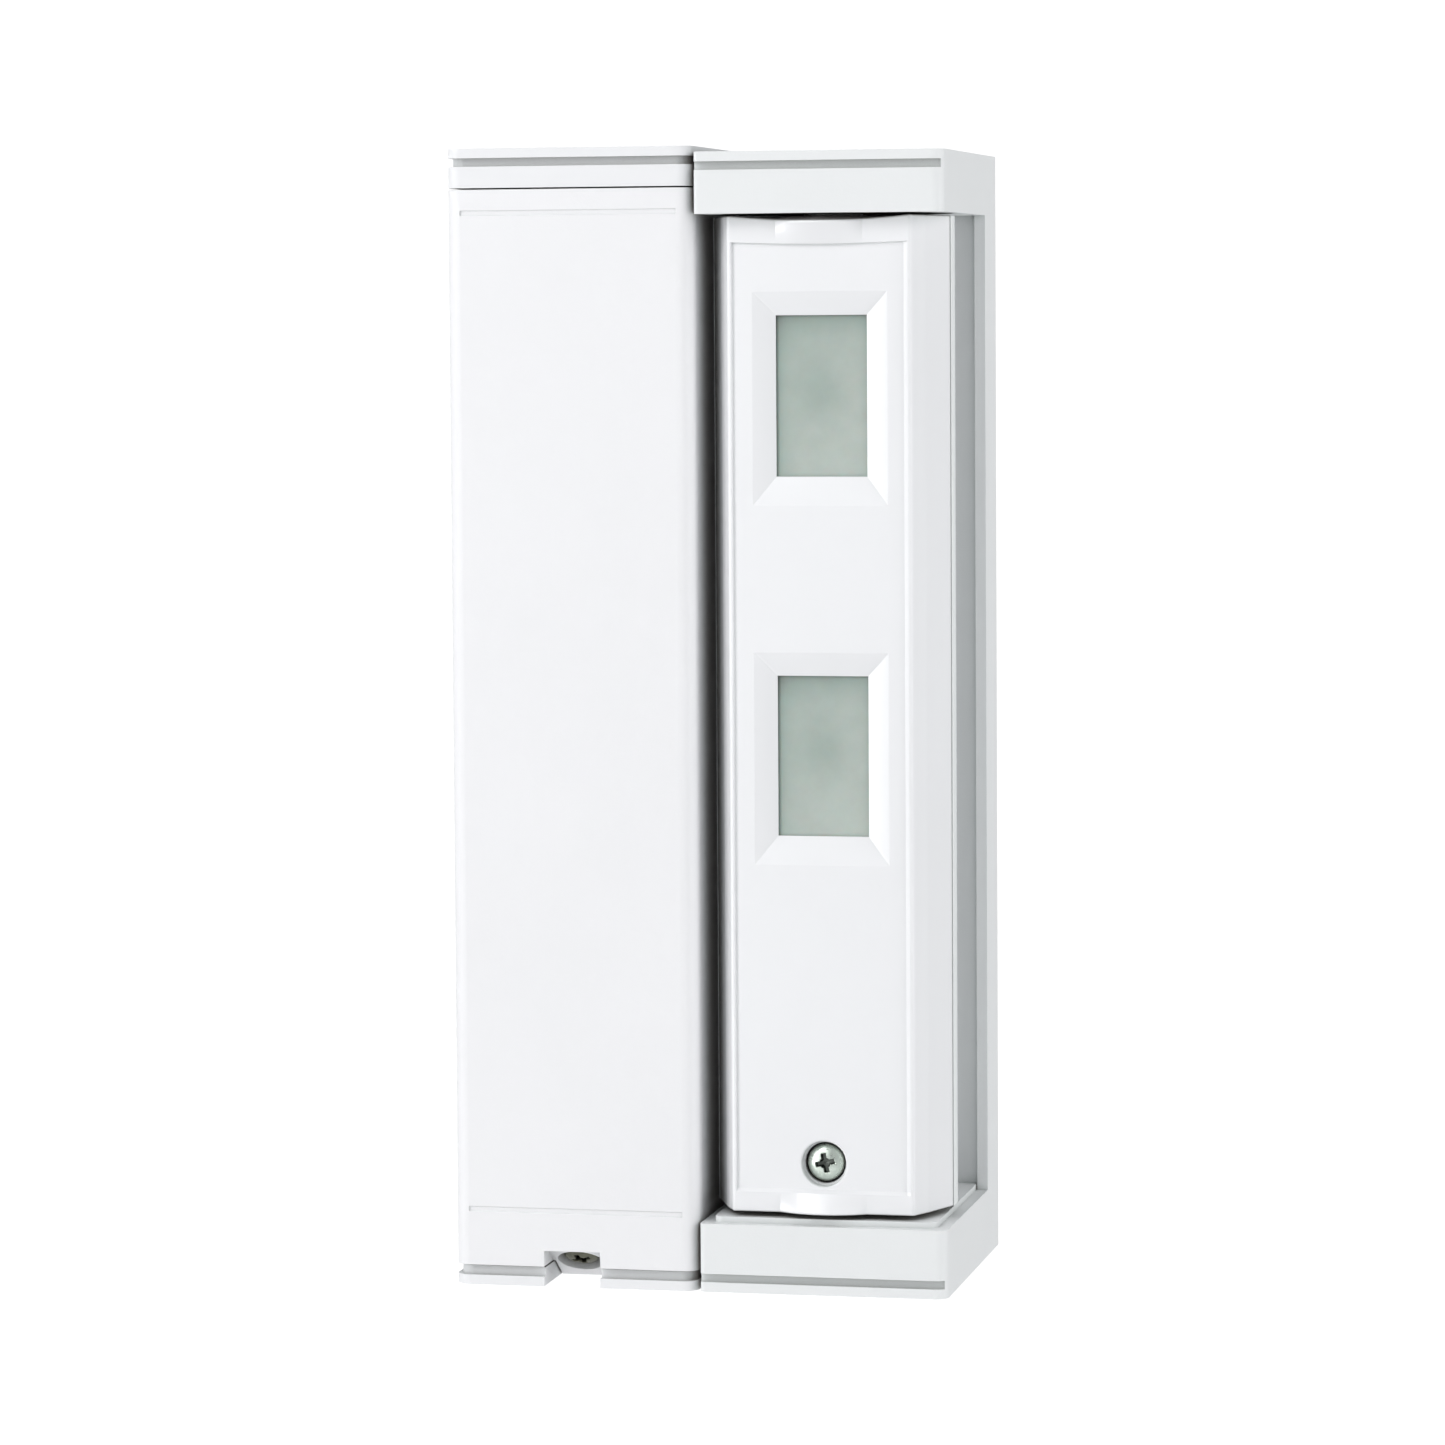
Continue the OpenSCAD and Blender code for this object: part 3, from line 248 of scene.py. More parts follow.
# Colour, roughness, grain size and grain depth in metres, then what differs from plain moulded plastic
plastics = {
    "coverWhite": ((0.83, 0.83, 0.845), 0.46, 0.0004, 0.00003, {"reach": 0.0045}),
    "baseWhite": ((0.81, 0.815, 0.83), 0.46, 0.0004, 0.000012, {}),
    "bracketWhite": ((0.79, 0.805, 0.81), 0.44, 0.0004, 0.00002, {"reach": 0.0022}),
    "headWhite": ((0.83, 0.835, 0.85), 0.27, 0.0004, 0.000012, {"coat": 0.3, "matte": 0.5, "reach": 0.0045}),
    "headRearWhite": ((0.85, 0.875, 0.875), 0.42, 0.0004, 0.00001, {"coat": 0.1, "reach": 0.0012}),
    "plateGrey": ((0.55, 0.56, 0.57), 0.5, 0.0005, 0.00002, {}),
    "black": ((0.022, 0.022, 0.024), 0.45, 0.0003, 0.00002, {"mottle": 0.15}),
    "green": ((0.03, 0.22, 0.1), 0.4, 0.0003, 0.00001, {"mottle": 0.06}),
    "acetal": ((0.74, 0.74, 0.68), 0.35, 0.0005, 0.00001, {}),
    "red": ((0.5, 0.02, 0.02), 0.3, 0.0005, 0.00001, {"mottle": 0.06}),
    "cellSleeve": ((0.02, 0.09, 0.32), 0.28, 0.001, 0.00002, {"mottle": 0.08, "coat": 0.4}),
}
# Colour and roughness
metals = {
    "zinc": ((0.78, 0.86, 0.78), 0.34),
    # The same zinc darkened: painted shade and painted dark reflection for the screw that faces down under the
    # notch
    "zincPaintedShade": ((0.16, 0.16, 0.12), 0.34),
    "nickel": ((0.66, 0.65, 0.62), 0.28),
    "copper": ((0.72, 0.36, 0.2), 0.3),
}
rubbers = {
    "rubber": ((0.018, 0.018, 0.02), 0.6),
    "sheath": ((0.02, 0.02, 0.022), 0.45),
}
looks = {name: mouldedPlastic(name, *row[:4], **row[4]) for name, row in plastics.items()}
looks.update({name: zincPlate(name, *row) for name, row in metals.items()})
looks.update({name: softRubber(name, *row) for name, row in rubbers.items()})
looks["board"] = circuitBoard("board")
print("finishes made:", len(looks))


def addPiece(name, mesh, body, look, replaced, angle=35):
    obj = bpy.data.objects.new(name, mesh)
    scene.collection.objects.link(obj)
    mesh.materials.clear()
    mesh.materials.append(looks[look])
    mesh.shade_smooth()
    mesh.set_sharp_from_angle(angle=math.radians(angle))
    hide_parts(*replaced)
    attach(obj, body)
    return obj


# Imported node, body, finish, slot and the radius in millimetres that its edges are rounded to
roundedShells = {
    "coverShell": ("battery_cover", "battery_cover", "coverWhite", "white_shell", 0.35),
    "boxBase": ("box_base", "base", "baseWhite", "white_shell", 0.3),
    "swivelBracket": ("swivel_bracket", "base", "bracketWhite", "bracket_shell", 0.7),
    "headRear": ("head_rear_shell", "head", "headRearWhite", "head_rear", 0.3),
}


def edged(name, node, body, look, slot, radius):
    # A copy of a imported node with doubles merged, flat faces whole again and edges of over 32 degrees rounded
    mesh = nodes[node].data.copy()
    bm = bmesh.new()
    bm.from_mesh(mesh)
    bmesh.ops.remove_doubles(bm, verts=bm.verts, dist=0.002 * mm)
    bmesh.ops.dissolve_limit(bm, angle_limit=math.radians(1.0), verts=bm.verts, edges=bm.edges)
    bm.to_mesh(mesh)
    bm.free()
    for layer in list(mesh.uv_layers):
        mesh.uv_layers.remove(layer)
    obj = addPiece(name, mesh, body, look, [node], 28)
    bevel = obj.modifiers.new("edges", "BEVEL")
    bevel.width = radius * mm
    bevel.segments = 3
    bevel.limit_method = "ANGLE"
    bevel.angle_limit = math.radians(32)
    bevel.miter_outer = "MITER_ARC"
    bevel.harden_normals = True
    bevel.use_clamp_overlap = True
    weighted = obj.modifiers.new("evenFaces", "WEIGHTED_NORMAL")
    weighted.keep_sharp = True


for name, row in roundedShells.items():
    edged(name, *row)
print("shells rounded:", len(roundedShells))

# Sizes of the head's front in millimetres; heights run from the box's underside
headShape = {
    "halfHeight": 94.0,
    "axis": (20.4, -51.2),          # swivel axis across, head front plane in depth
    "headEnds": (13.1, 176.5),
    "panelSide": 14.6,
    "panelEnds": (16.4, 172.3),
    "panelDeep": 0.45,
    "panelEdge": (0.16, 0.7, 0.6, 0.16),    # slope widths: left, right, bottom, top
    "bossHalf": 7.2,
    "bossProud": (0.2, 2.3),        # at the panel, at the head's end
    "topSag": {"most": 0.8, "from": 167.0, "atPanel": 0.45, "half": 14.5, "behind": 4.0},
    "lensHalf": (7.55, 13.15),
    "bevel": (3.65, 3.85, 4.7, 1.5),       # each side, above, below, depth
    "lensHeights": (147.2, 88.3),
    "lensDeep": 2.2,
    "wellHeight": 21.2,
    "skin": 1.9,
    "rimDeep": 11.25,
    "endRound": 0.35,
    "noseHalf": 14.75,
    "noseCorner": (0.6, (12, 24, 36, 48, 60)),   # radius, then degrees round it
    "cheek": ((15.32, 0.45), (16.9, 3.5), (0.1, 0.5, 0.9, 1.0)),    # from, to, shares of the way
    "jaw": ((16.9, 3.5), (19.62, 10.9), (0.06, 0.25, 0.5, 0.75, 0.95, 1.0)),
    "jawEnd": (19.66, 11.25),
    "pivotRoom": (6.95, 13.3),      # radius kept clear round the pivot, its centre behind the front
    "wellHalf": 5,
    "well": [(4.12, 0.45), (3.96, 0.49), (3.84, 0.6), (3.78, 0.8), (3.75, 2.2), (3.66, 2.3), (3.42, 2.3),
             (3.4, 3.84), (1.75, 3.84), (1.75, 8.2), (5.0, 8.2), (5.0, 2.05)],
    "edgeRadius": 0.11,
    "gridStep": (0.8, 1.6),         # longest cell across, longest cell up
    "inside": {"half": 13.4, "flankFrom": 14.0, "flankOver": 1.2, "extra": 0.15,
               "frameWide": 0.2, "frameThin": 0.02},
    "endTurn": (0.7, 0.9),          # share of the corner's rounding lost on the flank, width it fades over
    "matteInset": (0.1, 0.5, 0.1),  # sides, bottom, top
    "matteFrom": 0.3,
}


def toFrame(u, depth, z):
    # Head coordinates (across, behind the front plane, up from the underside) to metres in the frame
    axisX, headY = headShape["axis"]
    return np.stack([(u + axisX) * mm, (depth + headY) * mm, (z - headShape["halfHeight"]) * mm], axis=-1)


def lines(marks, step, whole=()):
    # Marks kept exactly, with even steps no longer than step between them, except over the whole spans
    marks = sorted(set(round(m, 4) for m in marks))
    out = [marks[0]]
    for a, b in zip(marks, marks[1:]):
        n = max(1, math.ceil((b - a) / step - 1e-6))
        if any(lo - 1e-3 < a and b < hi + 1e-3 for lo, hi in whole):
            n = 1
        out += [a + (b - a) * (i + 1) / n for i in range(n)]
    return np.array(out)


def sideProfile():
    # Half outline from the front face round the corner and back along the flank: (half width, depth)
    radius, degrees = headShape["noseCorner"]
    outline = [(headShape["noseHalf"] + radius * math.sin(t), radius - radius * math.cos(t))
               for t in np.radians(degrees)]
    for start, end, shares in (headShape["cheek"], headShape["jaw"]):
        outline += [tuple(a + (b - a) * t for a, b in zip(start, end)) for t in shares]
    return outline + [headShape["jawEnd"]]


def frontDepth(u, z):
    # Panel 0.45 deep with sloped edges, two bevelled windows and a bulge across each border
    # bulge = proud(z) * (1 - (u / 7.5)^2), proud rising from the panel's edge to the head's end
    s = headShape
    left, right, low, high = s["panelEdge"]
    inU = np.minimum((u + s["panelSide"]) / left, (s["panelSide"] - u) / right)
    inZ = np.minimum((z - s["panelEnds"][0]) / low, (s["panelEnds"][1] - z) / high)
    depth = s["panelDeep"] * np.clip(np.minimum(inU, inZ), 0, 1)
    side, above, below, deep = s["bevel"]
    for centre in s["lensHeights"]:
        du = (s["lensHalf"][0] + side - np.abs(u)) / side
        dz = np.minimum((s["lensHalf"][1] + above - (z - centre)) / above,
                        (s["lensHalf"][1] + below + (z - centre)) / below)
        depth = depth + deep * np.clip(np.minimum(du, dz), 0, 1)
    near, far = s["bossProud"]
    for edge, end in ((s["panelEnds"][0], s["headEnds"][0]), (s["panelEnds"][1], s["headEnds"][1])):
        along = (z - edge) / (end - edge)
        proud = np.where(along >= -1e-6, near + (far - near) * along, 0)
        depth = depth - proud * np.clip(1 - (u / s["bossHalf"]) ** 2, 0, 1)
    return depth


def sagDown(u, z, depth):
    # The head's top front edge hangs lower in the middle, fading out behind and below
    # sag = most * weight(z) * (1 - (u / half)^2) * (1 - depth / behind)
    sag, edge, top = headShape["topSag"], headShape["panelEnds"][1], headShape["headEnds"][1]
    weight = np.interp(z, [sag["from"], edge, top], [0, sag["atPanel"], 1])
    across = np.clip(1 - (u / sag["half"]) ** 2, 0, 1)
    return sag["most"] * weight * across * np.clip(1 - depth / sag["behind"], 0, 1)


def stitchedShell(outer, inner, keep):
    # Two grids of the same layout joined along every open edge of the kept cells
    rows, cols = outer.shape[:2]
    index = np.arange(rows * cols).reshape(rows, cols)
    a, b, c, d = index[:-1, :-1][keep], index[:-1, 1:][keep], index[1:, 1:][keep], index[1:, :-1][keep]
    quads = np.stack([a, b, c, d], axis=-1)
    edges = {}
    for quad in quads.tolist():
        for i in range(4):
            pair = (quad[i], quad[(i + 1) % 4])
            if (pair[1], pair[0]) in edges:
                del edges[(pair[1], pair[0])]
            else:
                edges[pair] = True
    n = rows * cols
    faces = quads.tolist() + (quads[:, ::-1] + n).tolist()
    return np.concatenate([outer.reshape(-1, 3), inner.reshape(-1, 3)]), faces, list(edges), n


def cleanMesh(name, verts, faces, merge=0.002):
    mesh = bpy.data.meshes.new(name)
    mesh.from_pydata(np.asarray(verts).tolist(), [], faces)
    bm = bmesh.new()
    bm.from_mesh(mesh)
    bmesh.ops.remove_doubles(bm, verts=bm.verts, dist=merge * mm)
    bmesh.ops.dissolve_degenerate(bm, edges=bm.edges, dist=merge * mm)
    bmesh.ops.delete(bm, geom=[v for v in bm.verts if not v.link_faces], context="VERTS")
    bmesh.ops.recalc_face_normals(bm, faces=bm.faces)
    bm.to_mesh(mesh)
    bm.free()
    return mesh


def headFrontMesh():
    # Outer skin: depth(u, height) over the front, the outline's own depth on the flanks, then both ends
    s = headShape
    z0, z1 = s["headEnds"]
    left, right, low, high = s["panelEdge"]
    lensU, lensZ = s["lensHalf"]
    bevelU, above, below, bevelD = s["bevel"]
    nose, wellHalf = s["noseHalf"], s["wellHalf"]
    uMarks = [-nose, -s["panelSide"], -s["panelSide"] + left, s["panelSide"] - right, s["panelSide"], nose, 0,
              -lensU - bevelU, lensU + bevelU, -lensU, lensU, -s["bossHalf"], s["bossHalf"], -wellHalf, wellHalf]
    whole = [(-lensU - bevelU, -lensU), (lensU, lensU + bevelU)]
    stepU, stepZ = s["gridStep"]
    frontU = lines(uMarks, stepU, whole)
    endRound = s["endRound"]
    zMarks = [z0 + endRound, s["panelEnds"][0], s["panelEnds"][0] + low, s["panelEnds"][1] - high,
              s["panelEnds"][1], z1 - endRound, s["wellHeight"] + wellHalf]
    whole = []
    for centre in s["lensHeights"]:
        zMarks += [centre - lensZ - below, centre - lensZ, centre + lensZ, centre + lensZ + above]
        whole += [(centre - lensZ - below, centre - lensZ), (centre + lensZ, centre + lensZ + above)]
    frontZ = lines(zMarks, stepZ, whole)
    half = sideProfile()
    u = np.concatenate([[-p[0] for p in half[::-1]], frontU, [p[0] for p in half]])
    flank = np.concatenate([[p[1] for p in half[::-1]], np.zeros(len(frontU)), [p[1] for p in half]])
    front = np.abs(u) <= nose + 0.01
    bigU, bigZ = np.meshgrid(u, frontZ)
    depth = np.where(front[None, :], frontDepth(bigU, bigZ), flank[None, :])
    height = bigZ - sagDown(bigU, bigZ, depth)
    wall = s["skin"]
    # Inner skin: flank and ends moved in by the wall, front at an even plane with a frame round each window
    away, room = np.abs(u), s["inside"]
    flankWall = wall * np.clip((away - room["flankFrom"]) / room["flankOver"], 0, 1)
    inU = np.where(front, np.clip(u, -room["half"], room["half"]), u * ((away - flankWall) / away.clip(1)))
    plane = wall + room["extra"]
    inDepth = np.where(front, plane, np.maximum(flank, plane))
    innerU, innerD = np.broadcast_to(inU, bigU.shape).copy(), np.broadcast_to(inDepth, bigU.shape).copy()
    for centre in s["lensHeights"]:
        wideU, wideZ = lensU + bevelU + room["frameWide"], lensZ + below + room["frameWide"]
        innerD[(np.abs(bigU) <= wideU) & (np.abs(bigZ - centre) <= wideZ)] = s["lensDeep"] - room["frameThin"]
    innerZ = np.clip(bigZ, z0 + wall, z1 - wall)
    # End faces: every column runs back to the parting plane, or to the clearance round the pivot disc
    clear, centreDeep = s["pivotRoom"]
    rear = np.where(away < clear, centreDeep - np.sqrt(np.clip(clear ** 2 - u ** 2, 0, None)), s["rimDeep"])
    rear = np.maximum(np.minimum(rear, s["rimDeep"]), flank)
    # Each end starts with a quarter round: in = r (1 - cos t), out = r sin t
    steps = (0.3, 0.65, 1.0)
    turns = np.radians([30, 60, 90])
    lost, fade = s["endTurn"]
    sideways = np.clip((away - nose) / fade, 0, 1) * np.sign(u)
    share = 1 - lost * np.abs(sideways)

    def capRows(row, zEnd):
        outs, ins = [], []
        rowInner = innerD[row]
        sag = abs(height[row] - frontZ[row])
        way = 1 if zEnd == z1 else -1
        level = np.full_like(u, zEnd - way * wall)
        for t in turns:
            inward = endRound * (1 - math.cos(t))
            d = np.minimum(depth[row] + inward * share, rear)
            outs.append(toFrame(u - sideways * inward, d, frontZ[row] - sag + way * endRound * math.sin(t)))
            ins.append(toFrame(inU, rowInner, level))
        start = np.minimum(depth[row] + endRound * share, rear)
        for t in steps:
            d = start + (rear - start) * t
            outs.append(toFrame(u - sideways * endRound, d, zEnd - sag * max(0, 1 - 3 * t)))
            e = rowInner + (np.maximum(rear, rowInner) - rowInner) * t
            ins.append(toFrame(inU, e, level))
        return outs, ins

    outer, inner = toFrame(bigU, depth, height), toFrame(innerU, innerD, innerZ)
    topOut, topIn = capRows(-1, z1)
    lowOut, lowIn = capRows(0, z0)
    outer = np.concatenate([np.array(lowOut[::-1]), outer, np.array(topOut)])
    inner = np.concatenate([np.array(lowIn[::-1]), inner, np.array(topIn)])
    rows, cols = outer.shape[:2]
    cellU = (u[:-1] + u[1:]) / 2
    pad = len(steps) + len(turns)
    cellZ = np.concatenate([np.full(pad, -1e3), (frontZ[:-1] + frontZ[1:]) / 2, np.full(pad, -1e3)])
    cu, cz = np.meshgrid(cellU, cellZ)
    keep = np.ones((rows - 1, cols - 1), bool)
    for centre in s["lensHeights"]:
        keep &= ~((np.abs(cu) < lensU) & (np.abs(cz - centre) < lensZ))
    wellLow = s["panelEnds"][0] + low
    well = (np.abs(cu) < wellHalf) & (cz > wellLow) & (cz < s["wellHeight"] + wellHalf)
    verts, faces, edges, n = stitchedShell(outer, inner, keep & ~well)
    verts = verts.tolist()
    ring = [e for e in edges if isWell(verts, e, wellLow)]
    wellEdges = set(ring)
    faces += [[a, a + n, b + n, b] for a, b in edges if (a, b) not in wellEdges]
    faces = [part for face in faces for part in mitred(verts, face)]
    # Screw well: each point of the square opening follows the profile (radius, depth) round the screw's axis
    stations = {}
    for a, b in ring:
        for v in (a, b):
            if v in stations:
                continue
            x = verts[v][0] / mm - s["axis"][0]
            z = verts[v][2] / mm + s["halfHeight"] - s["wellHeight"]
            turn = math.atan2(z, x)
            chain = [v]
            for r, d in s["well"]:
                chain.append(len(verts))
                verts.append(toFrame(np.array(r * math.cos(turn)), np.array(d),
                                     np.array(s["wellHeight"] + r * math.sin(turn))).tolist())
            chain.append(v + n)
            stations[v] = chain
    for a, b in ring:
        for p, q, r, t in zip(stations[a], stations[a][1:], stations[b][1:], stations[b]):
            faces.append([p, q, r, t])
    return cleanMesh("headFront", verts, faces)


def mitred(verts, face):
    # A corner cell of a window's bevel is cut in two along its crease, from the lens corner outwards
    if len(face) != 4:
        return [face]
    side, above, below, deep = headShape["bevel"]
    us = [verts[v][0] / mm - headShape["axis"][0] for v in face]
    if abs(max(us) - min(us) - side) > 0.01 or verts[face[0]][1] / mm > headShape["axis"][1] + 2.05:
        return [face]
    zs = [verts[v][2] for v in face]
    if min(abs((max(zs) - min(zs)) / mm - h) for h in (above, below)) > 0.01:
        return [face]
    deepest = max(range(4), key=lambda i: verts[face[i]][1])
    a, b, c, d = (face[(deepest + i) % 4] for i in range(4))
    return [[a, b, c], [a, c, d]]


def isWell(verts, edge, wellLow):
    for v in edge:
        x = verts[v][0] / mm - headShape["axis"][0]
        z = verts[v][2] / mm + headShape["halfHeight"]
        reach = headShape["wellHalf"] + 0.01
        if abs(x) > reach or not wellLow - 0.01 < z < headShape["wellHeight"] + reach:
            return False
    return True


def floatField(mesh, name, values):
    field = mesh.attributes.new(name, "FLOAT", "POINT")
    field.data.foreach_set("value", np.asarray(values, dtype=np.float32))


def coords(mesh):
    flat = np.empty(len(mesh.vertices) * 3, dtype=np.float32)
    mesh.vertices.foreach_get("co", flat)
    return flat.reshape(-1, 3)


def headFront():
    mesh = headFrontMesh()
    at = coords(mesh) / mm
    u, d, z = at[:, 0] - headShape["axis"][0], at[:, 1] - headShape["axis"][1], at[:, 2] + headShape["halfHeight"]
    # The recessed panel is matte, from just behind the border's plane to the inside of the wall
    side, bottom, top = headShape["matteInset"]
    low, high = headShape["panelEnds"]
    inPanel = (np.abs(u) < headShape["panelSide"] - side) & (z > low + bottom) & (z < high - top)
    inSkin = (d > headShape["matteFrom"]) & (d < headShape["skin"])
    floatField(mesh, "matte", (inPanel & inSkin).astype(float))
    obj = addPiece("headFront", mesh, "head_cover", "headWhite", ["head_front_cover"], 14)
    bevel = obj.modifiers.new("edges", "BEVEL")
    bevel.width, bevel.segments, bevel.limit_method = headShape["edgeRadius"] * mm, 2, "ANGLE"
    bevel.angle_limit = math.radians(15)
    bevel.harden_normals = True


headFront()
print("head front made")


# Sizes in millimetres; shades are shares of the full tone
lensShape = {
    "sheetHalf": (8.75, 14.35),
    "behind": (0.13, 0.79),         # front and back of the sheet behind the window's edge
    "dome": 0.12,
    "spot": (0.16, 3.6, 4.6, 0.6),  # shade, half width, half height, offset up
    # Painted shadow along the window's left, top and right edges, from the bevel and frame
    "edgeShade": 0.5,
    "edges": ((0.6, 1.0), (0.7, 1.9), (0.3, 0.5)),  # left, top, right: strength and width
    "gridStep": (0.6, 0.8),
    "tone": 0.86,
    # Painted light: the sheet is lighter towards the right and bottom
    "slope": 0.06,
}


def lensPiece(name, node, centre):
    # Sheet with a dome of dome * (1 - (u / w)^2) * (1 - (z / h)^2);
    # tone = full - spot * exp(-r^2) - painted edge shadows falling off as exp(-distance) + a painted light slope
    # across
    s = lensShape
    (w, h), (openU, openZ) = s["sheetHalf"], headShape["lensHalf"]
    stepU, stepZ = s["gridStep"]
    us, zs = lines([-w, -openU, 0, openU, w], stepU), lines([-h, -openZ, 0, openZ, h], stepZ)
    bigU, bigZ = np.meshgrid(us, zs)
    dome = s["dome"] * np.clip(1 - (bigU / openU) ** 2, 0, 1) * np.clip(1 - (bigZ / openZ) ** 2, 0, 1)
    nearDeep, farDeep = (headShape["lensDeep"] + d for d in s["behind"])
    outer = toFrame(bigU, nearDeep - dome, bigZ + centre)
    inner = toFrame(bigU, np.full_like(bigU, farDeep), bigZ + centre)
    keep = np.ones((len(zs) - 1, len(us) - 1), bool)
    verts, faces, edges, n = stitchedShell(outer, inner, keep)
    faces += [[a, a + n, b + n, b] for a, b in edges]
    mesh = cleanMesh(name, verts, faces)
    at = coords(mesh) / mm
    u, z = at[:, 0] - headShape["axis"][0], at[:, 2] + headShape["halfHeight"] - centre
    shade, spotU, spotZ, spotUp = s["spot"]
    spot = np.exp(-((u / spotU) ** 2 + ((z - spotUp) / spotZ) ** 2))
    # Painted shadow next to the frame's edges, and a painted light slope across the sheet
    edge = sum(strength * np.exp(-gap / wide)
               for gap, (strength, wide) in zip((u + openU, openZ - z, openU - u), s["edges"]))
    slope = s["slope"] * (u / openU - z / openZ)
    floatField(mesh, "tone", np.clip(s["tone"] - shade * spot - s["edgeShade"] * edge + slope, 0.1, 1.0))
    addPiece(name, mesh, "head_cover", "lens", [node], 30)


def lensSheet(name):
    # Milky thermal window: grey-green, darker where the sensor sits behind it, with painted shadow next to its
    # frame and a painted light slope across
    f = Finish(name)
    f.set(IOR=1.5, Subsurface_Weight=0.25, Subsurface_Scale=0.002, Specular_IOR_Level=0.35)
    field = f.node("ShaderNodeAttribute", attribute_name="tone")
    shades = [(0.1, (0.13, 0.15, 0.13)), (0.65, (0.33, 0.40, 0.365)), (1.0, (0.50, 0.55, 0.51))]
    toned = f.ramp(field.outputs["Fac"], shades)
    cloud = f.ramp(f.noise(0.003, 3.0), [(0.3, 0.965), (0.7, 1.03)])
    mix = f.node("ShaderNodeMix", data_type="RGBA", blend_type="MULTIPLY")
    mix.inputs["Factor"].default_value = 1.0
    f.link(toned, mix.inputs["A"])
    f.link(cloud, mix.inputs["B"])
    f.link(mix.outputs["Result"], f.shader.inputs["Base Color"])
    f.link(f.ramp(f.noise(0.002, 3.0), [(0.3, 0.4), (0.7, 0.5)]), f.shader.inputs["Roughness"])
    f.bump([(f.noise(0.0004, 2.0), 0.00001)])
    return f.mat


looks["lens"] = lensSheet("lens")
lensPiece("upperLens", "upper_lens", headShape["lensHeights"][0])
lensPiece("lowerLens", "lower_lens", headShape["lensHeights"][1])


# Millimetres and degrees: a screw's seat, how far its head stands off it, and how it is turned
screws = {
    "frontScrew": {"node": "head_cover_screw", "body": "head_cover", "look": "zinc",
                   "place": (20.4, -47.85, -72.8), "tilt": 90, "turn": 12, "rise": 1.9, "shank": 14.0, "sunk": 0},
    # The chin screw wears zinc darkened with painted shade and painted dark reflection
    "chinScrew": {"node": "cover_screw", "body": "battery_cover", "look": "zincPaintedShade",
                  "place": (-21.45, -47.682, -90.66), "tilt": 31.84, "turn": 20, "rise": 1.5, "shank": 10.5,
                  "sunk": 1.6},
}
screwHead = {
    "radius": 3.05,
    "crown": 0.45,                  # share of the rise that is dome, the rest is straight
    "rim": (2.6, 0.45, 0.35),       # where it turns down, over what width, by how much
    "recess": (0.43, 1.65),         # half width and length of an arm
    "recessSlope": (0.14, 0.2),
    "flare": (0.95, 0.3),
    "recessDeep": (1.35, 0.32, 0.5),        # in the middle, less per millimetre out, least
    "shank": (1.5, 0.9, 0.8),       # radius, radius and length of the point
    "turnStep": 3.75,
}


def panHead(name, node, body, look, place, tilt, turn, rise, shank, sunk):
    # Height over the seat = rise * (crown * (1 - (r / radius)^2) + 1 - crown), less a cross-shaped recess;
    # drawn about its own axis, which leans forwards from straight down by tilt
    s = screwHead
    radius, crown = s["radius"], s["crown"]
    rimFrom, rimOver, rimDown = s["rim"]
    (armHalf, armLong), (slopeHalf, slopeLong) = s["recess"], s["recessSlope"]
    (flareFrom, flareOver), (deep, lessOut, least) = s["flare"], s["recessDeep"]
    shankRadius, pointRadius, pointLong = s["shank"]
    lean = math.radians(tilt)
    axis = np.array([0, -math.sin(lean), -math.cos(lean)])
    place = np.array(place) - axis * sunk
    angles = np.radians(np.arange(0, 360, s["turnStep"]))
    radii = np.concatenate([np.linspace(0.02, 2.45, 22), [2.6, 2.75, 2.88, 2.98, radius]])
    bigA, bigR = np.meshgrid(angles, radii)
    x, y = bigR * np.cos(bigA), bigR * np.sin(bigA)

    def domeHeight(r):
        return rise * crown * (1 - (r / radius) ** 2) + rise * (1 - crown)

    dome = domeHeight(bigR) - rimDown * np.clip((bigR - rimFrom) / rimOver, 0, 1) ** 2
    near, far = np.minimum(np.abs(x), np.abs(y)), np.maximum(np.abs(x), np.abs(y))
    arm = np.clip((armHalf - near) / slopeHalf, 0, 1) * np.clip((armLong - far) / slopeLong, 0, 1)
    flare = np.clip((flareFrom - bigR) / flareOver, 0, 1)
    cut = np.maximum(arm, flare) * (deep - lessOut * bigR).clip(least, deep)
    top = np.stack([x, y, dome - cut], axis=-1)

    def ring(r, h):
        return np.stack([r * np.cos(angles), r * np.sin(angles), np.full_like(angles, h)], axis=-1)

    grid = np.concatenate([top, [ring(radius, 0.0), ring(shankRadius, 0.0),
                                 ring(shankRadius, -shank + pointLong), ring(pointRadius, -shank)]])
    side = np.cross([0, 0, 1.0], axis)
    side /= np.linalg.norm(side)
    over = np.cross(axis, side)
    turnCos, turnSin = math.cos(math.radians(turn)), math.sin(math.radians(turn))
    first, second = turnCos * side + turnSin * over, turnCos * over - turnSin * side
    grid = grid[..., :1] * first + grid[..., 1:2] * second + grid[..., 2:3] * axis + place
    rows, cols = grid.shape[:2]
    faces = [[r * cols + k, (r + 1) * cols + k, (r + 1) * cols + (k + 1) % cols, r * cols + (k + 1) % cols]
             for r in range(rows - 1) for k in range(cols)]
    faces += [list(range(cols)), [(rows - 1) * cols + k for k in range(cols)][::-1]]
    mesh = cleanMesh(name, grid.reshape(-1, 3) * mm, faces, 0.0005)
    at = coords(mesh) / mm - place
    r, h = np.hypot(at @ first, at @ second), at @ axis
    # The cut field, which paints shade into the recess, is full where a point lies rimDown or more under the
    # uncut dome
    below = np.clip((domeHeight(r) - h) / rimDown, 0, 1)
    floatField(mesh, "cut", np.where((r < 2.3) & (h > 0), below, 0))
    addPiece(name, mesh, body, look, [node], 30)


for name, screw in screws.items():
    panHead(name, **screw)
print("lenses and screws made")

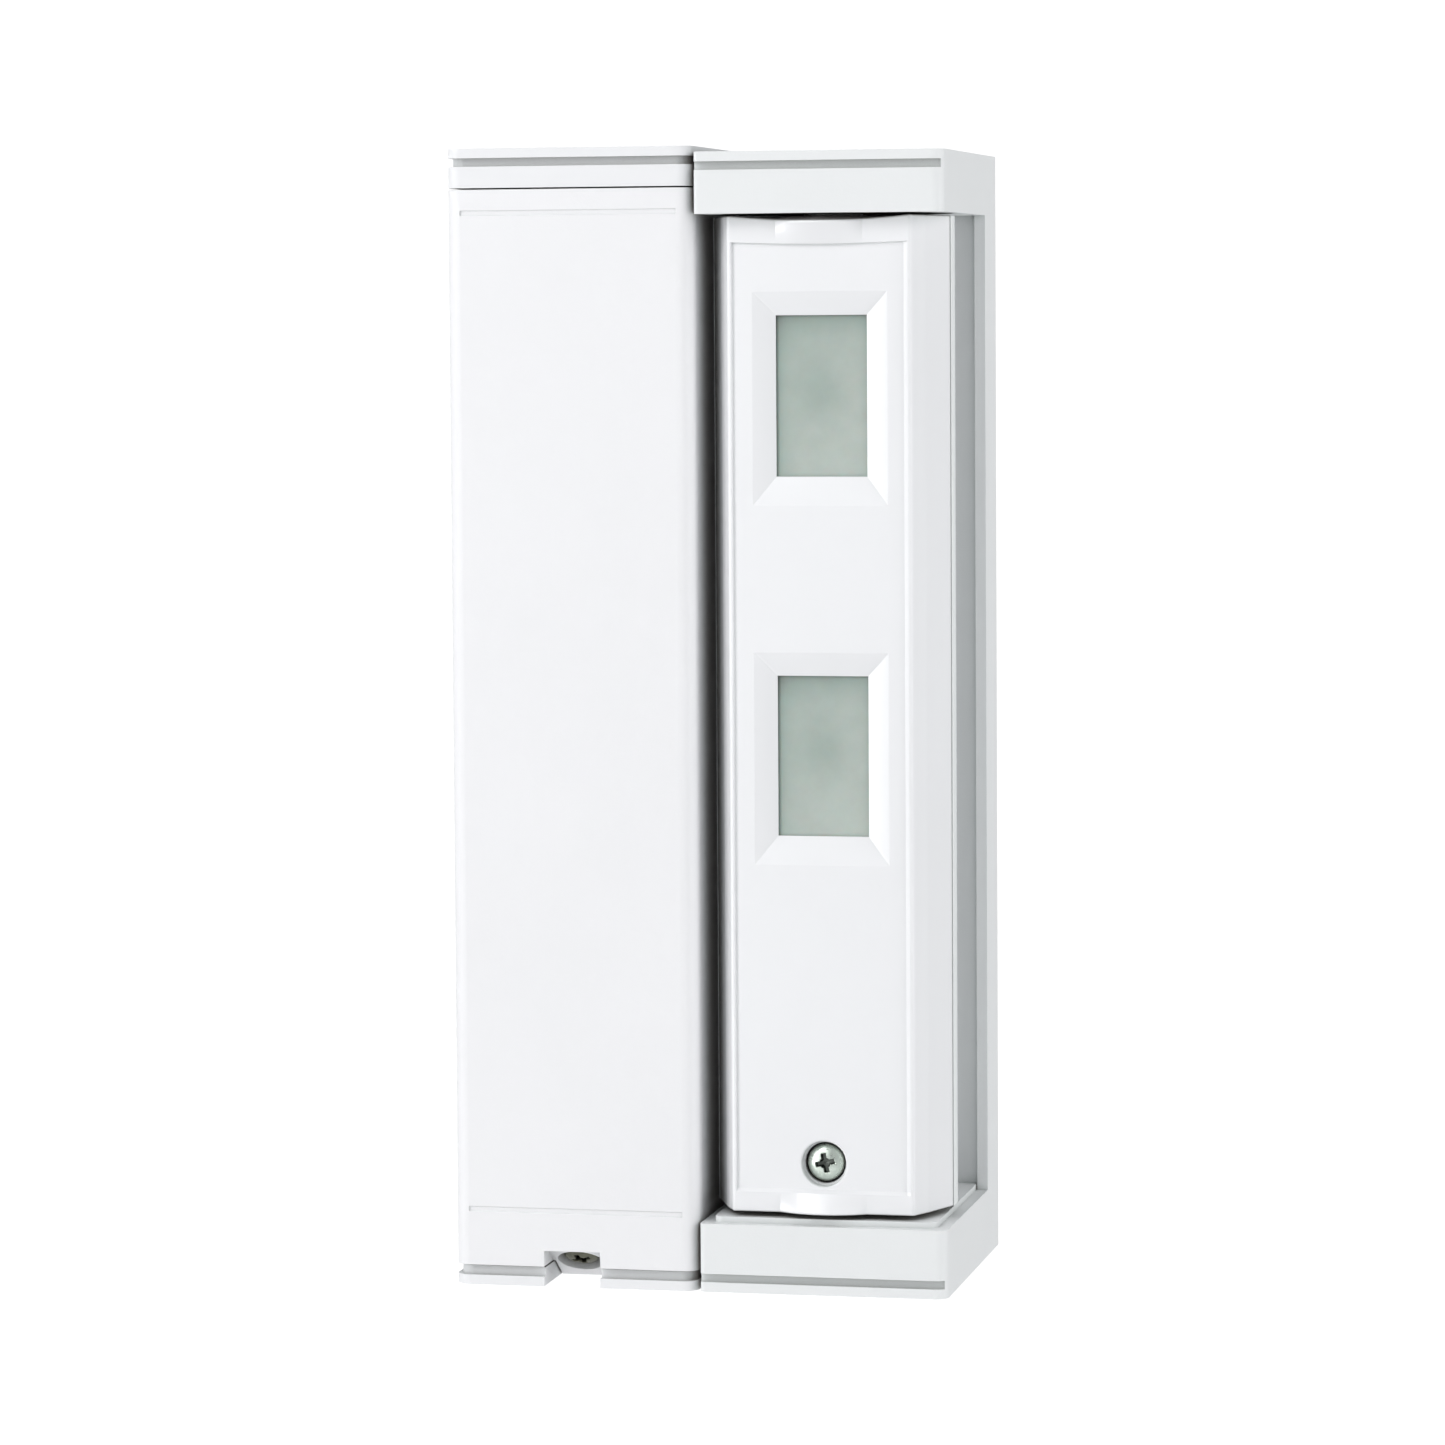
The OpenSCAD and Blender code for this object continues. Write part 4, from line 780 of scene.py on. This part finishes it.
cadFinish = {
    "plateGrey": ["back_plate", "ledge_cap"],
    "zinc": ["box_fixing_screws", "bracket_fixing_screws",
             "transmitter_board_screws", "sensor_board_screws", "terminal_screws"],
    "rubber": ["cable_grommet", "cover_gasket", "head_gasket", "head_screw_seal", "cover_screw_washer"],
    "sheath": ["box_lead", "head_lead"],
    "black": ["battery_holder", "tamper_switch", "range_switch", "upper_baffle", "lower_baffle",
              "upper_lens_retainer", "lower_lens_retainer"],
    "cellSleeve": ["upper_battery", "lower_battery"],
    "nickel": ["battery_springs", "battery_contacts", "detent_spring", "radio_shield",
               "upper_heat_sensor", "lower_heat_sensor"],
    "board": ["transmitter_board", "sensor_board"],
    "green": ["terminal_block"],
    "copper": ["antenna_wire"],
    "acetal": ["upper_bush", "lower_bush", "click_wheel", "lead_plug", "range_switch_knob"],
    "red": ["tamper_plunger", "alarm_lamp"],
}
for look, members in cadFinish.items():
    for member in members:
        nodes[member].data.materials.clear()
        nodes[member].data.materials.append(looks[look])


def tamperSpring():
    # The coil shortens towards the switch as its plunger goes in; this copy keeps its imported shape, finished in
    # nickel
    mesh = nodes["tamper_spring"].data.copy()
    depths = coords(mesh)[:, 1]
    obj = addPiece("tamperSpring", mesh, "base", "nickel", ["tamper_spring"])
    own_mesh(obj)


tamperSpring()
print("finishes set on the packed nodes")


def softBox(name, place, size, power):
    data = bpy.data.lights.new(name, "AREA")
    data.shape = "RECTANGLE"
    data.size, data.size_y = size
    data.energy = power
    obj = bpy.data.objects.new(name, data)
    scene.collection.objects.link(obj)
    back = np.array(place) / np.linalg.norm(place)
    side = np.cross([0, 0, 1], back)
    side /= np.linalg.norm(side)
    turn = np.eye(4)
    turn[:3, 0], turn[:3, 1], turn[:3, 2], turn[:3, 3] = side, np.cross(back, side), back, place
    obj.matrix_world = Matrix(turn.tolist())
    obj.visible_camera = False


# Strengths of the room's light and of its white as the camera sees it; floor sizes in metres
stageSetup = {"room": 0.43, "roomTint": (0.97, 0.985, 1.0, 1.0), "seen": 1.1, "floorHalf": 4.0, "floorZ": -0.32}

# Place, size (metres) and power (watts) of each soft box; all aim at the middle
softBoxes = {
    "keyBox": ((-0.45, -0.85, 0.8), (0.5, 0.5), 4.4),
    "leftStrip": ((-0.85, -0.75, 0.05), (0.22, 1.2), 6.2),
    "rightStrip": ((1.0, -0.2, 0.05), (0.5, 1.3), 6.6),
    "frontBox": ((-0.26, -1.25, 0.02), (0.3, 0.9), 0.5),
}


def makeStage():
    # Pale floor under the piece; it and the room look plain white straight to the camera
    size, floorZ = stageSetup["floorHalf"], stageSetup["floorZ"]
    mesh = bpy.data.meshes.new("floor")
    corners = [(-size, -size, floorZ), (size, -size, floorZ), (size, size, floorZ), (-size, size, floorZ)]
    mesh.from_pydata(corners, [], [(0, 1, 2, 3)])
    floor = bpy.data.objects.new("floor", mesh)
    scene.collection.objects.link(floor)
    f = Finish("paleFloor")
    f.set(Base_Color=(0.9, 0.9, 0.9), Roughness=0.8)
    glow = f.node("ShaderNodeEmission", Color=(1, 1, 1, 1), Strength=stageSetup["seen"])
    mix = f.node("ShaderNodeMixShader")
    f.link(f.node("ShaderNodeLightPath").outputs["Is Camera Ray"], mix.inputs["Fac"])
    f.link(f.shader.outputs["BSDF"], mix.inputs[1])
    f.link(glow.outputs["Emission"], mix.inputs[2])
    f.link(mix.outputs["Shader"], f.tree.nodes["Material Output"].inputs["Surface"])
    mesh.materials.append(f.mat)
    world = bpy.data.worlds.new("paleRoom")
    scene.world = world
    world.use_nodes = True
    tree = world.node_tree
    shade = tree.nodes["Background"]
    shade.inputs["Color"].default_value = stageSetup["roomTint"]
    shade.inputs["Strength"].default_value = stageSetup["room"]
    seen = tree.nodes.new("ShaderNodeBackground")
    seen.inputs["Color"].default_value = (1, 1, 1, 1)
    seen.inputs["Strength"].default_value = stageSetup["seen"]
    path = tree.nodes.new("ShaderNodeLightPath")
    mix = tree.nodes.new("ShaderNodeMixShader")
    tree.links.new(path.outputs["Is Camera Ray"], mix.inputs["Fac"])
    tree.links.new(shade.outputs["Background"], mix.inputs[1])
    tree.links.new(seen.outputs["Background"], mix.inputs[2])
    tree.links.new(mix.outputs["Shader"], tree.nodes["World Output"].inputs["Surface"])


makeStage()
for name, row in softBoxes.items():
    softBox(name, *row)
scene.view_settings.view_transform = "Standard"
print("stage and lights set")
